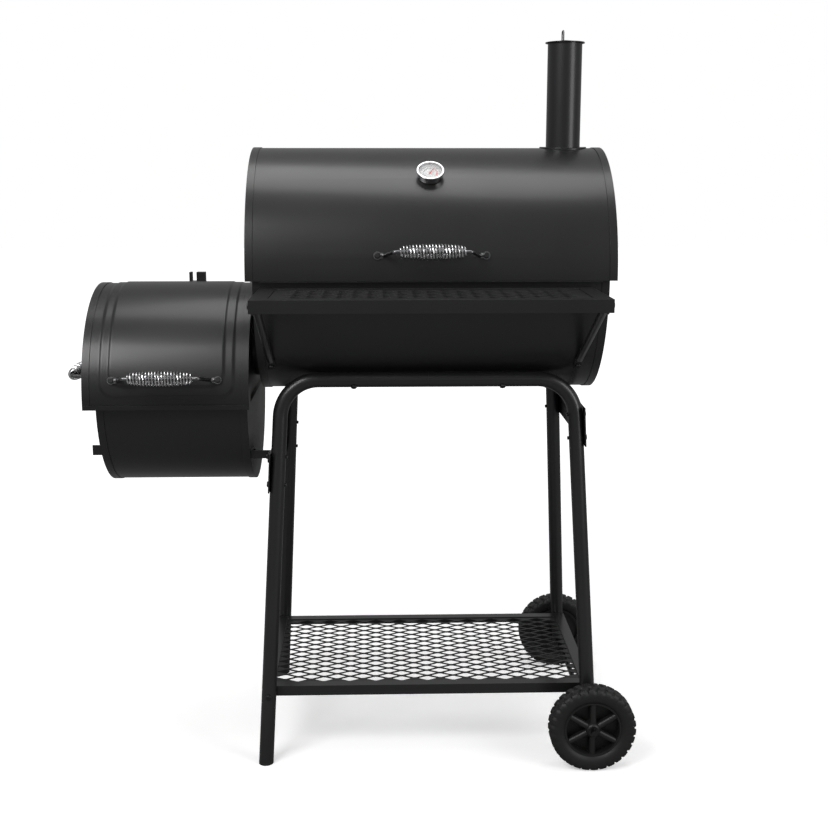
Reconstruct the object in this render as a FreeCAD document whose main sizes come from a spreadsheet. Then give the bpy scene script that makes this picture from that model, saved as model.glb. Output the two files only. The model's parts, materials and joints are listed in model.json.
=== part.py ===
"""Offset smoker: barrel cooking chamber with side firebox, chimney lid, wire shelves and wheels.

Frame: millimetres, +Z up, +X towards the wheels, -Y towards the cook.  The origin is on the
ground, under the middle of the whole smoker.
"""
import FreeCAD, Part
import math
import os
import re

import Sketcher
from FreeCAD import Placement, Rotation, Vector

SIZES = [
    # alias, value, what it is
    ("barrel_x", 140.8, "middle of the barrel along X"),
    ("barrel_y", 73.0, "barrel axis along Y"),
    ("barrel_z", 840.0, "height of the barrel axis"),
    ("barrel_length", 577.0, "length of the barrel tub"),
    ("barrel_radius", 205.5, "outer radius of the tub's end bands"),
    ("lid_step", 8.0, "step from the tub's end bands out to the lid's"),
    ("lid_overhang", 11.0, "how far the lid reaches past each end of the tub"),
    ("sheet_steel", 1.2, "thickness of every rolled or pressed sheet"),
    ("end_band", 12.5, "width of the rolled band of an end cap"),
    ("lid_gap", 0.3, "gap under a closed lid"),
    ("lip_height", 1.5, "thickness of the tub's rolled lip"),
    ("firebox_drop", 205.5, "firebox axis below the barrel axis"),
    ("firebox_radius", 165.5, "outer radius of the firebox tub"),
    ("firebox_lid_step", 20.0, "step from the firebox tub's bands out to its lid's"),
    ("firebox_length", 251.8, "length of the firebox tub"),
    ("firebox_overhang", 17.2, "firebox lid past the left end of its tub"),
    ("firebox_seal_reach", 5.2, "firebox lid past the right end of its tub"),
    ("seal_lap", 7.5, "lap of the lid's seal ring over the firebox's right end"),
    ("ledge_height", 8.2, "height of the ledge under the firebox lid"),
    ("throat_gap", 17.7, "gap between the firebox and the barrel"),
    ("throat_radius", 50.0, "radius of the smoke throat"),
    ("throat_wall", 12.0, "wall of the throat collar"),
    ("throat_drop", 123.0, "throat below the barrel axis"),
    ("panel_step", 1.3, "height of each raised step on the firebox lid"),
    ("leg_radius", 12.7, "outer radius of the leg tube"),
    ("tube_wall", 1.2, "wall of the leg tube"),
    ("leg_top_angle", 37.5, "where a leg bar touches the tub, from straight down"),
    ("leg_foot_y", 196.0, "leg foot's distance from the barrel's middle plane"),
    ("leg_inset", 4.5, "legs at ground level inside the barrel's ends"),
    ("left_plate_drop", 155.8, "left plate's middle below the leg bars"),
    ("right_plate_drop", 80.3, "right plate's middle below the leg bars"),
    ("leg_splay", 3.08, "lean of a leg outward along X, degrees"),
    ("leg_bend_radius", 65.0, "bend radius of the leg tube's middle line"),
    ("legs_shift", -2.5, "middle of the legs from the middle of the barrel"),
    ("foot_plug", 4.0, "thickness of the plug under a left leg"),
    ("shelf_drop", 10.0, "front shelf's top below the barrel axis"),
    ("shelf_inset", 42.0, "how much shorter the front shelf is than the tub"),
    ("shelf_shift", -8.0, "middle of the front shelf from the middle of the barrel"),
    ("shelf_reach", 400.0, "front edge of the front shelf from the barrel axis"),
    ("shelf_skirt", 20.0, "height of the front shelf's skirt"),
    ("shelf_flange", 26.0, "width of the front shelf's top flange"),
    ("strut_radius", 6.0, "radius of a shelf strut"),
    ("rack_top", 131.0, "top of the lower shelf"),
    ("rack_skirt", 18.0, "height of the lower shelf's skirt"),
    ("rack_flange", 19.0, "width of the lower shelf's top flange"),
    ("mesh_long", 46.0, "long pitch of the expanded mesh"),
    ("mesh_short", 23.0, "short pitch of the expanded mesh"),
    ("mesh_strand", 2.6, "width of a mesh strand"),
    ("mesh_sheet", 1.6, "thickness of the mesh"),
    ("mesh_lap", 6.0, "how far the mesh runs under its frame"),
    ("wheel_radius", 74.5, "radius of a wheel over its tread"),
    ("wheel_width", 38.0, "width of a tyre"),
    ("wheel_reach", 50.0, "wheels' outer faces beyond the feet"),
    ("rim_radius", 49.0, "radius where the tyre meets its hub"),
    ("axle_radius", 4.7, "radius of the axle"),
    ("running_fit", 0.05, "radial clearance of a shaft in its bore"),
    ("hub_radius", 13.0, "radius of the wheel's middle boss"),
    ("chimney_inset", 51.5, "chimney's middle in from the tub's end"),
    ("chimney_radius", 29.5, "outer radius of the chimney tube"),
    ("chimney_rise", 388.0, "chimney's top above the barrel axis"),
    ("cap_overhang", 4.2, "cap's rim beyond the chimney"),
    ("cap_loop_rise", 22.0, "top of the cap's loop above the chimney"),
    ("cap_pivot_gap", 6.5, "cap's pivot out from the chimney's wall"),
    ("handle_span", 174.5, "distance between a handle's two screws"),
    ("handle_standoff", 45.0, "handle rod's height over the sheet"),
    ("handle_rod_radius", 3.0, "radius of a handle's rod"),
    ("coil_length", 108.0, "length of a handle's coil"),
    ("coil_radius", 12.1, "radius of the coil's wire line"),
    ("coil_wire", 1.25, "radius of the coil's wire"),
    ("coil_turns", 20.0, "number of turns in a coil"),
    ("lid_handle_angle", 79.0, "lid handle's place, from straight up towards the cook"),
    ("firebox_handle_angle", 77.3, "firebox handle's place, from straight up"),
    ("side_handle_rise", 29.5, "end grip above the firebox axis"),
    ("gauge_angle", 39.0, "thermometer's place on the lid, from straight up"),
    ("gauge_radius", 23.0, "radius of the thermometer's case"),
    ("gauge_height", 13.0, "height of the thermometer's case over the lid"),
    ("needle_rest_angle", -30.0, "needle's angle at rest about the gauge axis"),
    ("hinge_offset", 7.0, "hinge axis behind the lid's rim"),
    ("hinge_pin_radius", 2.0, "radius of a hinge pin"),
    ("knuckle_radius", 4.0, "outer radius of a hinge knuckle"),
    ("damper_drop", 103.5, "damper below the firebox axis"),
    ("damper_radius", 36.0, "radius of the damper disc"),
    ("damper_y", -35.0, "damper's middle from the barrel's middle plane"),
    ("bolt_radius", 3.0, "radius of a bolt's shank"),
    ("bolt_clearance", 0.1, "radial clearance of a bolt in its hole"),
    ("grate_drop", 28.0, "cooking grates below the barrel axis"),
    ("grate_wire", 2.5, "radius of a grate's bars"),
]
DERIVED = {
    # measure that follows from sizes above
    "lid_radius": "barrel_radius + lid_step",
    "firebox_z": "barrel_z - firebox_drop",
    "firebox_lid_radius": "firebox_radius + firebox_lid_step",
    "seal_inner_radius": "firebox_radius - seal_lap",
    "throat_z": "barrel_z - throat_drop",
    "leg_foot_x": "barrel_length / 2 - leg_inset",
    "shelf_top": "barrel_z - shelf_drop",
    "shelf_width": "barrel_length - shelf_inset",
    "wheel_face_y": "leg_foot_y + wheel_reach",
    "chimney_x": "barrel_length / 2 - chimney_inset",
    "chimney_top": "barrel_z + chimney_rise",
    "cap_radius": "chimney_radius + cap_overhang",
    "cap_loop_top": "chimney_top + cap_loop_rise",
    "cap_pivot_reach": "chimney_radius + cap_pivot_gap",
    "side_handle_z": "firebox_z + side_handle_rise",
    "damper_z": "firebox_z - damper_drop",
    "grate_z": "barrel_z - grate_drop",
}
ALIASES = {alias for alias, _, _ in SIZES}
WORD = re.compile(r"[a-z][a-z_]*")

FRONT, UP, RIGHT = Vector(0, -1, 0), Vector(0, 0, 1), Vector(1, 0, 0)
LOWER_HALF = Rotation(Vector(0, -1, 0), Vector(0, 0, -1), RIGHT, "ZXY")
UPPER_HALF = Rotation(Vector(0, 1, 0), UP, RIGHT, "ZXY")
ALONG_X = Rotation(Vector(0, 1, 0), 90)
ALONG_Y = Rotation(Vector(1, 0, 0), -90)
UPRIGHT = Rotation()

doc = FreeCAD.newDocument("OffsetSmoker")
sheet = doc.addObject("Spreadsheet::Sheet", "Sizes")
for row, (alias, value, note) in enumerate(SIZES, start=1):
    sheet.set(f"A{row}", note)
    sheet.set(f"B{row}", str(value))
    sheet.setAlias(f"B{row}", alias)
doc.recompute()

nodes = []


def size(alias):
    """The number that a size or a derived measure stands for."""
    return value_of(alias) if alias in DERIVED else float(sheet.get(alias))


def bind(obj, prop, text):
    """Tie a property to the sheet through an expression written with the sheet's aliases."""
    obj.setExpression(prop, WORD.sub(spelled, str(text)))


def spelled(match):
    """A word of an expression as the sheet knows it."""
    word = match.group()
    if word in DERIVED:
        return f"({WORD.sub(spelled, DERIVED[word])})"
    return f"Sizes.{word}" if word in ALIASES else word


def place(obj, x="0", y="0", z="0", rotation=UPRIGHT):
    """Put an object at expressions x, y, z with a fixed rotation."""
    obj.Placement = Placement(Vector(), rotation)
    for axis, text in zip("xyz", (x, y, z)):
        bind(obj, f"Placement.Base.{axis}", text)
    return obj


def node(name, obj):
    """Name an object as one of the smoker's pieces."""
    obj.Label = name
    nodes.append((name, obj))
    return obj


# ---------------------------------------------------------------- plain solids
def box(name, x, y, z):
    """A box from its low and high expressions on each axis."""
    obj = doc.addObject("Part::Box", name)
    for prop, (low, high) in zip(("Length", "Width", "Height"), (x, y, z)):
        bind(obj, prop, f"({high}) - ({low})")
    return place(obj, x[0], y[0], z[0])


def cylinder(name, radius, length, x, y, z, rotation, sweep=360):
    obj = doc.addObject("Part::Cylinder", name)
    obj.Angle = sweep
    bind(obj, "Radius", radius)
    bind(obj, "Height", length)
    return place(obj, x, y, z, rotation)


def rod_x(name, radius, x, y, z, rotation=ALONG_X, sweep=360):
    return cylinder(name, radius, f"({x[1]}) - ({x[0]})", x[0], y, z, rotation, sweep)


def rod_y(name, radius, x, y, z):
    return cylinder(name, radius, f"({y[1]}) - ({y[0]})", x, y[0], z, ALONG_Y)


def rod_z(name, radius, x, y, z):
    return cylinder(name, radius, f"({z[1]}) - ({z[0]})", x, y, z[0], UPRIGHT)


def fuse(name, *parts):
    obj = doc.addObject("Part::MultiFuse", name)
    obj.Shapes = list(parts)
    return obj


def cut(name, base, *tools):
    obj = doc.addObject("Part::Cut", name)
    obj.Base = base
    obj.Tool = tools[0] if len(tools) == 1 else fuse(f"{name}_tools", *tools)
    return obj


def shaped(name, shape, placement=None):
    """A sub-part whose shape is worked out from the sheet's sizes with Part's own functions."""
    obj = doc.addObject("Part::Feature", name)
    obj.Shape = shape
    if placement:
        obj.Placement = placement
    return obj


def revolved(name, points, x="0", y="0", z="0", rotation=UPRIGHT):
    """A body turned about its own Z axis from an outline of (radius, height) expressions."""
    body = doc.addObject("PartDesign::Body", name)
    sketch = body.newObject("Sketcher::SketchObject", f"{name}_outline")
    plane = next(f for f in body.Origin.OriginFeatures if f.Role == "XZ_Plane")
    sketch.AttachmentSupport = [(plane, "")]
    sketch.MapMode = "FlatFace"
    corners = [Vector(value_of(r), value_of(h), 0) for r, h in points]
    count = len(corners)
    for index, corner in enumerate(corners):
        sketch.addGeometry(Part.LineSegment(corner, corners[(index + 1) % count]), False)
    for index in range(count):
        sketch.addConstraint(Sketcher.Constraint("Coincident", index, 2, (index + 1) % count, 1))
    for index, (r, h) in enumerate(points):
        for kind, text in (("DistanceX", r), ("DistanceY", h)):
            if abs(value_of(text)) < 1e-9:
                sketch.addConstraint(Sketcher.Constraint("PointOnObject", index, 1,
                                                         -2 if kind == "DistanceX" else -1))
                continue
            mark = sketch.addConstraint(
                Sketcher.Constraint(kind, -1, 1, index, 1, value_of(text)))
            bind(sketch, f"Constraints[{mark}]", text)
    turn = body.newObject("PartDesign::Revolution", f"{name}_turn")
    turn.Profile = sketch
    turn.ReferenceAxis = (sketch, ["V_Axis"])
    turn.Angle = 360
    return place(body, x, y, z, rotation)


def value_of(text):
    """The number an expression of aliases and arithmetic stands for."""
    probe.setExpression("value", None)
    bind(probe, "value", text)
    probe.recompute()
    return probe.value


probe = doc.addObject("App::FeaturePython", "Probe")
probe.addProperty("App::PropertyFloat", "value")


def on_barrel(angle, radius, x=0.0, z=None):
    """Point on a cylinder about a barrel axis; angle in degrees from straight up to the cook."""
    turn = math.radians(angle)
    height = size("barrel_z") if z is None else z
    return Vector(size("barrel_x") + x, size("barrel_y") - radius * math.sin(turn),
                  height + radius * math.cos(turn))


def outward(angle):
    """Rotation that takes +Z to the outward normal at that angle."""
    return Rotation(Vector(1, 0, 0), angle)


# ---------------------------------------------------------------- fasteners
def bolt(point, direction, length, head=5.0):
    """A round-headed bolt: head on the near side of point, shank running along direction."""
    direction = Vector(direction).normalize()
    cap = Part.makeCylinder(head, 3.0, point - direction * 3.0, direction)
    cap = cap.makeFillet(1.4, [cap.Edges[0] if cap.Edges[0].BoundBox.Center.distanceToPoint(point)
                               > cap.Edges[2].BoundBox.Center.distanceToPoint(point)
                               else cap.Edges[2]])
    return cap.fuse(Part.makeCylinder(size("bolt_radius"), length, point, direction))


def bolts(name, spots):
    return node(name, shaped(name, Part.makeCompound([bolt(*spot) for spot in spots])))


def drill(name, spots):
    """The holes that a set of bolts needs, as one tool."""
    radius = size("bolt_radius") + size("bolt_clearance")
    return shaped(name, Part.makeCompound([
        Part.makeCylinder(radius, spot[2] + 1.0, spot[0] - Vector(spot[1]).normalize() * 0.5,
                          spot[1]) for spot in spots]))


# ---------------------------------------------------------------- swept tubes
def rounded_path(points, radius):
    """Straight runs through the points, joined by tangent arcs."""
    edges, start = [], points[0]
    for before, corner, after in zip(points, points[1:], points[2:]):
        into, out = (corner - before).normalize(), (after - corner).normalize()
        reach = radius * math.tan(into.getAngle(out) / 2)
        first, last = corner - into * reach, corner + out * reach
        middle = (out - into).normalize()
        sagitta = radius / math.cos(into.getAngle(out) / 2) - radius
        edges += [Part.LineSegment(start, first).toShape(),
                  Part.Arc(first, corner + middle * sagitta, last).toShape()]
        start = last
    return Part.Wire(edges + [Part.LineSegment(start, points[-1]).toShape()])


def tube_along(path, radius):
    start = path.Edges[0]
    ring = Part.Wire(Part.makeCircle(radius, start.valueAt(start.FirstParameter),
                                     start.tangentAt(start.FirstParameter)))
    return path.makePipeShell([ring], True, True)


# ---------------------------------------------------------------- barrel chamber
LEFT = "(barrel_x - barrel_length / 2)"
RIGHT_END = "(barrel_x + barrel_length / 2)"
LID_LEFT, LID_RIGHT = f"({LEFT} - lid_overhang)", f"({RIGHT_END} + lid_overhang)"
LID_Z = "(barrel_z + lid_gap)"


def half_skin(name, half, radius, x, z):
    """Rolled half cylinder between its two end caps."""
    outer = rod_x(f"{name}_outer", f"{radius} - sheet_steel", x, "barrel_y", z, half, 180)
    inner = rod_x(f"{name}_inner", f"{radius} - 2 * sheet_steel", (f"{x[0]} - 1", f"{x[1]} + 1"),
                  "barrel_y", z, half, 180)
    return cut(f"{name}_skin", outer, inner)


def end_cap(name, half, radius, x_out, inward, z, sweep=180):
    """Pressed end: a disc with a band that runs inward over the skin."""
    near, far = (x_out, f"{x_out} + end_band")
    inner = (f"{x_out} + sheet_steel", f"{x_out} + end_band + 1")
    if inward == "-":
        near, far = f"{x_out} - end_band", x_out
        inner = (f"{x_out} - end_band - 1", f"{x_out} - sheet_steel")
    disc = rod_x(f"{name}_disc", radius, (near, far), "barrel_y", z, half, sweep)
    room = rod_x(f"{name}_room", f"{radius} - sheet_steel", inner, "barrel_y", z, half, sweep)
    return cut(f"{name}_cap", disc, room)


throat_spots = []
for quarter in range(4):
    turn = math.radians(45 + 90 * quarter)
    reach = size("throat_radius") + size("throat_wall") / 2
    throat_spots.append((Vector(size("barrel_x") - size("barrel_length") / 2 + size("sheet_steel"),
                                size("barrel_y") + reach * math.cos(turn),
                                size("throat_z") + reach * math.sin(turn)),
                         Vector(-1, 0, 0), size("throat_gap") + 3 * size("sheet_steel") + 4))
throat_holes = drill("throat_bolt_holes", throat_spots)

# leg frame geometry shared by the legs, the plates and their bolts
legs_x = size("barrel_x") + size("legs_shift")
bar_turn = math.radians(size("leg_top_angle"))
bar_reach = size("barrel_radius") + size("leg_radius") + 0.1
bar_y, bar_z = bar_reach * math.sin(bar_turn), size("barrel_z") - bar_reach * math.cos(bar_turn)
tilt = math.atan2(size("leg_foot_y") - bar_y, bar_z)
splay = math.radians(size("leg_splay"))


def leg_point(side, front, z):
    """Middle of a straight leg at a height; side and front are -1 or +1 along X and Y."""
    out = size("leg_foot_x") - z / math.cos(tilt) * math.tan(splay)
    deep = size("leg_foot_y") - z * math.tan(tilt)
    return Vector(legs_x + side * out, size("barrel_y") + front * deep, z)


PLATE_Z = {-1: bar_z - size("left_plate_drop"), 1: bar_z - size("right_plate_drop")}
PLATE_HALF = {-1: 34.0, 1: 33.5}
PLATE_LIFTS = {-1: (-22.0, 26.0), 1: (-20.0, 20.0)}
frame_spots = []
for side in (-1, 1):
    for front in (-1, 1):
        outward_x = Vector(side * math.cos(splay), 0, math.sin(splay))
        for lift in PLATE_LIFTS[side]:
            strapped = 2.9 if (side, front) == (-1, -1) and lift > 0 else 0.0
            spot = leg_point(side, front, PLATE_Z[side] + lift)
            spot += outward_x * (size("leg_radius") + 2.35 + strapped)
            frame_spots.append((spot, -outward_x, 2 * size("leg_radius") + 5.0 + strapped))
        spot = leg_point(side, front, size("rack_top") - size("rack_skirt") / 2)
        spot.y += front * (size("leg_radius") + 0.6)
        frame_spots.append((spot, Vector(0, -front, 0), 2 * size("leg_radius") + 4.0))
        direction = Vector(0, -front * math.sin(bar_turn), math.cos(bar_turn))
        seat = Vector(legs_x + side * 126, size("barrel_y") + front * bar_y, bar_z)
        frame_spots.append((seat - direction * size("leg_radius"), direction,
                            2 * size("leg_radius") + 6.0))
frame_holes = drill("frame_bolt_holes", frame_spots)

shelf_x = size("barrel_x") + size("shelf_shift")
strut_foot_angle = 180 - 48.0
strut_seat_angle = strut_foot_angle + 3.6
shelf_spots = []
for offset in (-170, 0, 170):
    shelf_spots.append((Vector(shelf_x + offset, size("barrel_y") - size("barrel_radius") - 1.7,
                               size("shelf_top") - size("shelf_skirt") / 2), Vector(0, 1, 0), 8.0))
for side in (-1, 1):
    shelf_spots.append((Vector(shelf_x + side * size("shelf_width") / 2,
                               size("barrel_y") - size("shelf_reach") + 16.0,
                               size("shelf_top") - size("shelf_skirt") / 2),
                        Vector(-side, 0, 0), 8.0))
    foot = on_barrel(strut_seat_angle, size("barrel_radius") + 2.65,
                     size("shelf_shift") + side * (size("shelf_width") / 2 - 9.0))
    shelf_spots.append((foot, outward(strut_seat_angle).multVec(Vector(0, 0, -1)), 9.0))
shelf_holes = drill("shelf_screw_holes", shelf_spots)

tub = half_skin("barrel_tub", LOWER_HALF, "barrel_radius",
                (f"{LEFT} + sheet_steel", f"{RIGHT_END} - sheet_steel"), "barrel_z")
LIP_X = (f"{LEFT} + end_band + 0.5", f"{RIGHT_END} - end_band - 0.5")
LIP_Z = ("barrel_z - lip_height", "barrel_z")
front_lip = box("tub_front_lip", LIP_X, ("barrel_y - lid_radius", "barrel_y - barrel_radius + 2"), LIP_Z)
rear_lip = box("tub_rear_lip", LIP_X, ("barrel_y + barrel_radius - 2", "barrel_y + lid_radius"), LIP_Z)
node("barrel_tub", cut("barrel_tub", fuse("tub_with_lips", tub, front_lip, rear_lip),
                       frame_holes, shelf_holes))
THROAT_CUT = rod_x("throat_cut", "throat_radius", (f"{LEFT} - throat_gap - 20", f"{LEFT} + 20"),
                   "barrel_y", "throat_z")
node("barrel_end_left", cut("barrel_end_left",
                            end_cap("tub_left", LOWER_HALF, "barrel_radius", LEFT, "+", "barrel_z"),
                            THROAT_CUT, throat_holes))
node("barrel_end_right", end_cap("tub_right", LOWER_HALF, "barrel_radius", RIGHT_END, "-",
                                 "barrel_z"))
collar = rod_x("collar_outer", "throat_radius + throat_wall", (f"{LEFT} - throat_gap", LEFT),
               "barrel_y", "throat_z")
node("throat_collar", cut("throat_collar", collar, THROAT_CUT, throat_holes))

# cooking grates: two flat grids side by side, resting on the tub's wall
grate_half = math.sqrt((size("barrel_radius") - 2 * size("sheet_steel")) ** 2
                       - (size("barrel_z") - size("grate_z") + size("grate_wire")) ** 2) - 0.3


def grid(width, depth, pitch, radius, middle):
    """A welded wire grid: a frame, bars along Y and two cross bars."""
    bars = []
    count = int(width // pitch)
    for index in range(count + 1):
        x = -width / 2 + index * width / count
        bars.append(Part.makeCylinder(radius, depth + 1.0, Vector(x, -depth / 2 - 0.5, 0), Vector(0, 1, 0)))
    for y in (4 - depth / 2, -depth / 6, depth / 6, depth / 2 - 4):
        bars.append(Part.makeCylinder(radius * 0.9, width + 0.6, Vector(-width / 2 - 0.3, y, 0), RIGHT))
    whole = bars[0].multiFuse(bars[1:])
    whole.translate(middle)
    return whole


grate_width = size("barrel_length") / 2 - 12.0
node("cooking_grates", shaped("cooking_grates", Part.makeCompound([
    grid(grate_width, 2 * (grate_half - 0.5), 22.0, size("grate_wire"),
         Vector(size("barrel_x") + side * (grate_width / 2 + 4.0), size("barrel_y"), size("grate_z")))
    for side in (-1, 1)])))

# charcoal pan: a shallow tray standing on the tub's bottom
PAN_X = (f"{LEFT} + 60", f"{RIGHT_END} - 40")
pan_z = "(barrel_z - sqrt((barrel_radius - 2 * sheet_steel)^2 - 112^2) + 0.3)"
pan = cut("pan_tray", box("pan_outer", PAN_X, ("barrel_y - 112", "barrel_y + 112"), (pan_z, f"{pan_z} + 40")),
          box("pan_room", (f"{PAN_X[0]} + 1.5", f"{PAN_X[1]} - 1.5"),
              ("barrel_y - 110.5", "barrel_y + 110.5"), (f"{pan_z} + 1.5", f"{pan_z} + 41")))
node("charcoal_pan", pan)

# ---------------------------------------------------------------- firebox
FB_RIGHT = f"({LEFT} - throat_gap)"
FB_LEFT = f"({FB_RIGHT} - firebox_length)"
FBL_LEFT = f"({FB_LEFT} - firebox_overhang)"
FBL_RIGHT = f"({FB_RIGHT} + firebox_seal_reach)"
node("firebox_tub", half_skin("firebox_tub", LOWER_HALF, "firebox_radius",
                              (f"{FB_LEFT} + sheet_steel", f"{FB_RIGHT} - sheet_steel"), "firebox_z"))
strap_z = PLATE_Z[-1] + PLATE_LIFTS[-1][1]
fb_right = size("barrel_x") - size("barrel_length") / 2 - size("throat_gap")
strap_leg = leg_point(-1, -1, strap_z)
strap_end = strap_leg.x - (size("leg_radius") + 2.25) / math.cos(splay) - 2.65
strap_spots = [(Vector(fb_right + 3.0, size("barrel_y") - 105.0, strap_z), Vector(-1, 0, 0), 10.0)]
strap_holes = drill("strap_bolt_hole", strap_spots)
fb_upper = rod_x("fb_right_upper", "firebox_radius", (f"{FB_RIGHT} - sheet_steel", FB_RIGHT),
                 "barrel_y", "firebox_z", UPPER_HALF, 180)
fb_lower = end_cap("fb_right", LOWER_HALF, "firebox_radius", FB_RIGHT, "-", "firebox_z")
node("firebox_end_right", cut("firebox_end_right", fuse("fb_right_plate", fb_upper, fb_lower),
                              THROAT_CUT, throat_holes, strap_holes))
vents = [rod_x(f"vent_{index}", "8",
               (f"{FB_LEFT} - 2", f"{FB_LEFT} + 3"),
               f"barrel_y + damper_y + 20 * cos({90 * index + 45})",
               f"damper_z + 20 * sin({90 * index + 45})") for index in range(4)]
damper_hole = rod_x("damper_hole", "2.6", (f"{FB_LEFT} - 2", f"{FB_LEFT} + 3"),
                    "barrel_y + damper_y", "damper_z")
node("firebox_end_left", cut("firebox_end_left",
                             end_cap("fb_left", LOWER_HALF, "firebox_radius", FB_LEFT, "+", "firebox_z"),
                             damper_hole, *vents))
LEDGE_Z = ("firebox_z - ledge_height", "firebox_z")
ledge = box("ledge_outer", (FBL_LEFT, FBL_RIGHT),
            ("barrel_y - firebox_lid_radius", "barrel_y + firebox_lid_radius"), LEDGE_Z)
ledge_room = box("ledge_room", (FB_LEFT, FB_RIGHT),
                 ("barrel_y - firebox_radius", "barrel_y + firebox_radius"),
                 ("firebox_z - ledge_height - 1", "firebox_z + 1"))
ledge_under = box("ledge_under", (f"{FBL_LEFT} + 1.5", f"{FBL_RIGHT} - 1.5"),
                  ("barrel_y - firebox_lid_radius + 1.5", "barrel_y + firebox_lid_radius - 1.5"),
                  ("firebox_z - ledge_height - 1", "firebox_z - 1.5"))
node("firebox_ledge", cut("firebox_ledge", ledge, ledge_room, ledge_under))
fire_z = size("firebox_z") - 70.0
fire_half = math.sqrt((size("firebox_radius") - 2 * size("sheet_steel")) ** 2 - (70.0 + size("grate_wire")) ** 2) - 0.3
node("firebox_grate", shaped("firebox_grate", grid(
    size("firebox_length") - 14.0, 2 * (fire_half - 0.5), 24.0, size("grate_wire"),
    Vector(fb_right - size("firebox_length") / 2, size("barrel_y"), fire_z))))

# damper: a vented disc with a bent tab, turning on a rivet
damper_rivet = fuse("damper_rivet_solid",
                    rod_x("rivet_shank", "2.5", (f"{FB_LEFT} - 4.2", f"{FB_LEFT} + 4"),
                          "barrel_y + damper_y", "damper_z"),
                    rod_x("rivet_head", "5", (f"{FB_LEFT} - 5.4", f"{FB_LEFT} - 3.2"),
                          "barrel_y + damper_y", "damper_z"),
                    rod_x("rivet_tail", "5", (f"{FB_LEFT} + sheet_steel", f"{FB_LEFT} + 3.4"),
                          "barrel_y + damper_y", "damper_z"))
node("damper_rivet", damper_rivet)
disc = rod_x("damper_plate", "damper_radius", (f"{FB_LEFT} - 2.1", f"{FB_LEFT} - 0.3"),
             "barrel_y + damper_y", "damper_z")
disc_vents = [rod_x(f"disc_vent_{index}", "8", (f"{FB_LEFT} - 3", f"{FB_LEFT} + 1"),
                    f"barrel_y + damper_y + 20 * cos({90 * index})",
                    f"damper_z + 20 * sin({90 * index})") for index in range(4)]
bore = rod_x("damper_bore", "2.5 + running_fit", (f"{FB_LEFT} - 3", f"{FB_LEFT} + 1"),
             "barrel_y + damper_y", "damper_z")
tab = box("damper_tab", (f"{FB_LEFT} - 33", f"{FB_LEFT} - 0.3"),
          ("barrel_y + damper_y - 27", "barrel_y + damper_y - 25"), ("damper_z - 9", "damper_z + 9"))
node("damper_disc", cut("damper_disc", fuse("damper_solid", disc, tab), bore, *disc_vents))

# strap that ties the firebox to the front left leg
strap = fuse("strap_solid",
             box("strap_foot", (f"{FB_RIGHT} + 0.05", f"{FB_RIGHT} + 3"),
                 ("barrel_y - 128", "barrel_y - 92"), (str(strap_z - 7), str(strap_z + 7))),
             box("strap_web", (f"{FB_RIGHT} + 0.05", str(strap_end + 2.0)),
                 ("barrel_y - 128", "barrel_y - 125"), (str(strap_z - 7), str(strap_z + 7))),
             box("strap_tab", (str(strap_end), str(strap_end + 2.2)),
                 ("barrel_y - 160", "barrel_y - 125"), (str(strap_z - 7), str(strap_z + 7))))
node("link_strap", cut("link_strap", strap, strap_holes, frame_holes))

# ---------------------------------------------------------------- hinges
def hinge(name, middles, z, wall_y, radius, leaf_z):
    """Butt hinges: base brackets with their pins, and the leaves on the lid."""
    axis_y = f"(barrel_y + {radius} + hinge_offset)"
    base, pins, leaves = [], [], []
    for index, middle in enumerate(middles):
        tag = f"{name}_{index}"
        mid_x = (f"{middle} - 9.8", f"{middle} + 9.8")
        base += [box(f"{tag}_foot", mid_x, (wall_y, f"{axis_y} + knuckle_radius"),
                     (f"{z} - 8", f"{z} - 6")),
                 box(f"{tag}_post", mid_x, (f"{axis_y} + 2", f"{axis_y} + knuckle_radius"),
                     (f"{z} - 8", z)),
                 rod_x(f"{tag}_knuckle", "knuckle_radius", mid_x, axis_y, z)]
        pins.append(rod_x(f"{tag}_pin", "hinge_pin_radius", (f"{middle} - 26", f"{middle} + 26"),
                          axis_y, z))
        for side, ends in ((-1, (f"{middle} - 25", f"{middle} - 10.2")),
                           (1, (f"{middle} + 10.2", f"{middle} + 25"))):
            half = f"{tag}_{'a' if side < 0 else 'b'}"
            barrel = rod_x(f"{half}_barrel", "knuckle_radius", ends, axis_y, z)
            arm = box(f"{half}_arm", ends, (f"barrel_y + {radius} - 0.6", axis_y),
                      (f"{z} + 2.2", f"{z} + knuckle_radius"))
            leaf = cut(f"{half}_leaf",
                       box(f"{half}_plate", ends, (f"barrel_y + {radius} - 14",
                                                   f"barrel_y + {radius} + 1.6"),
                           (f"{z} + 2.2", f"{z} + 34")),
                       rod_x(f"{half}_hollow", f"{radius} + 0.02",
                             (f"{ends[0]} - 1", f"{ends[1]} + 1"), "barrel_y", leaf_z))
            hole = rod_x(f"{half}_bore", "hinge_pin_radius + running_fit",
                         (f"{ends[0]} - 1", f"{ends[1]} + 1"), axis_y, z)
            leaves.append(cut(f"{half}_part", fuse(f"{half}_solid", barrel, arm, leaf), hole))
    node(f"{name}_hinge_base", fuse(f"{name}_hinge_base", *base, *pins))
    node(f"{name}_hinge_leaf", fuse(f"{name}_hinge_leaf", *leaves))


HINGE_X = ("barrel_x - 180", "barrel_x + 130")
hinge("lid", HINGE_X, "barrel_z", "barrel_y + barrel_radius - 1.3", "lid_radius", LID_Z)
FB_MIDDLE = f"(({FBL_LEFT} + {FBL_RIGHT}) / 2)"
hinge("firebox_lid", (f"{FB_MIDDLE} - 75", f"{FB_MIDDLE} + 75"), "firebox_z",
      "barrel_y + firebox_lid_radius", "firebox_lid_radius", "(firebox_z + lid_gap)")

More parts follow.
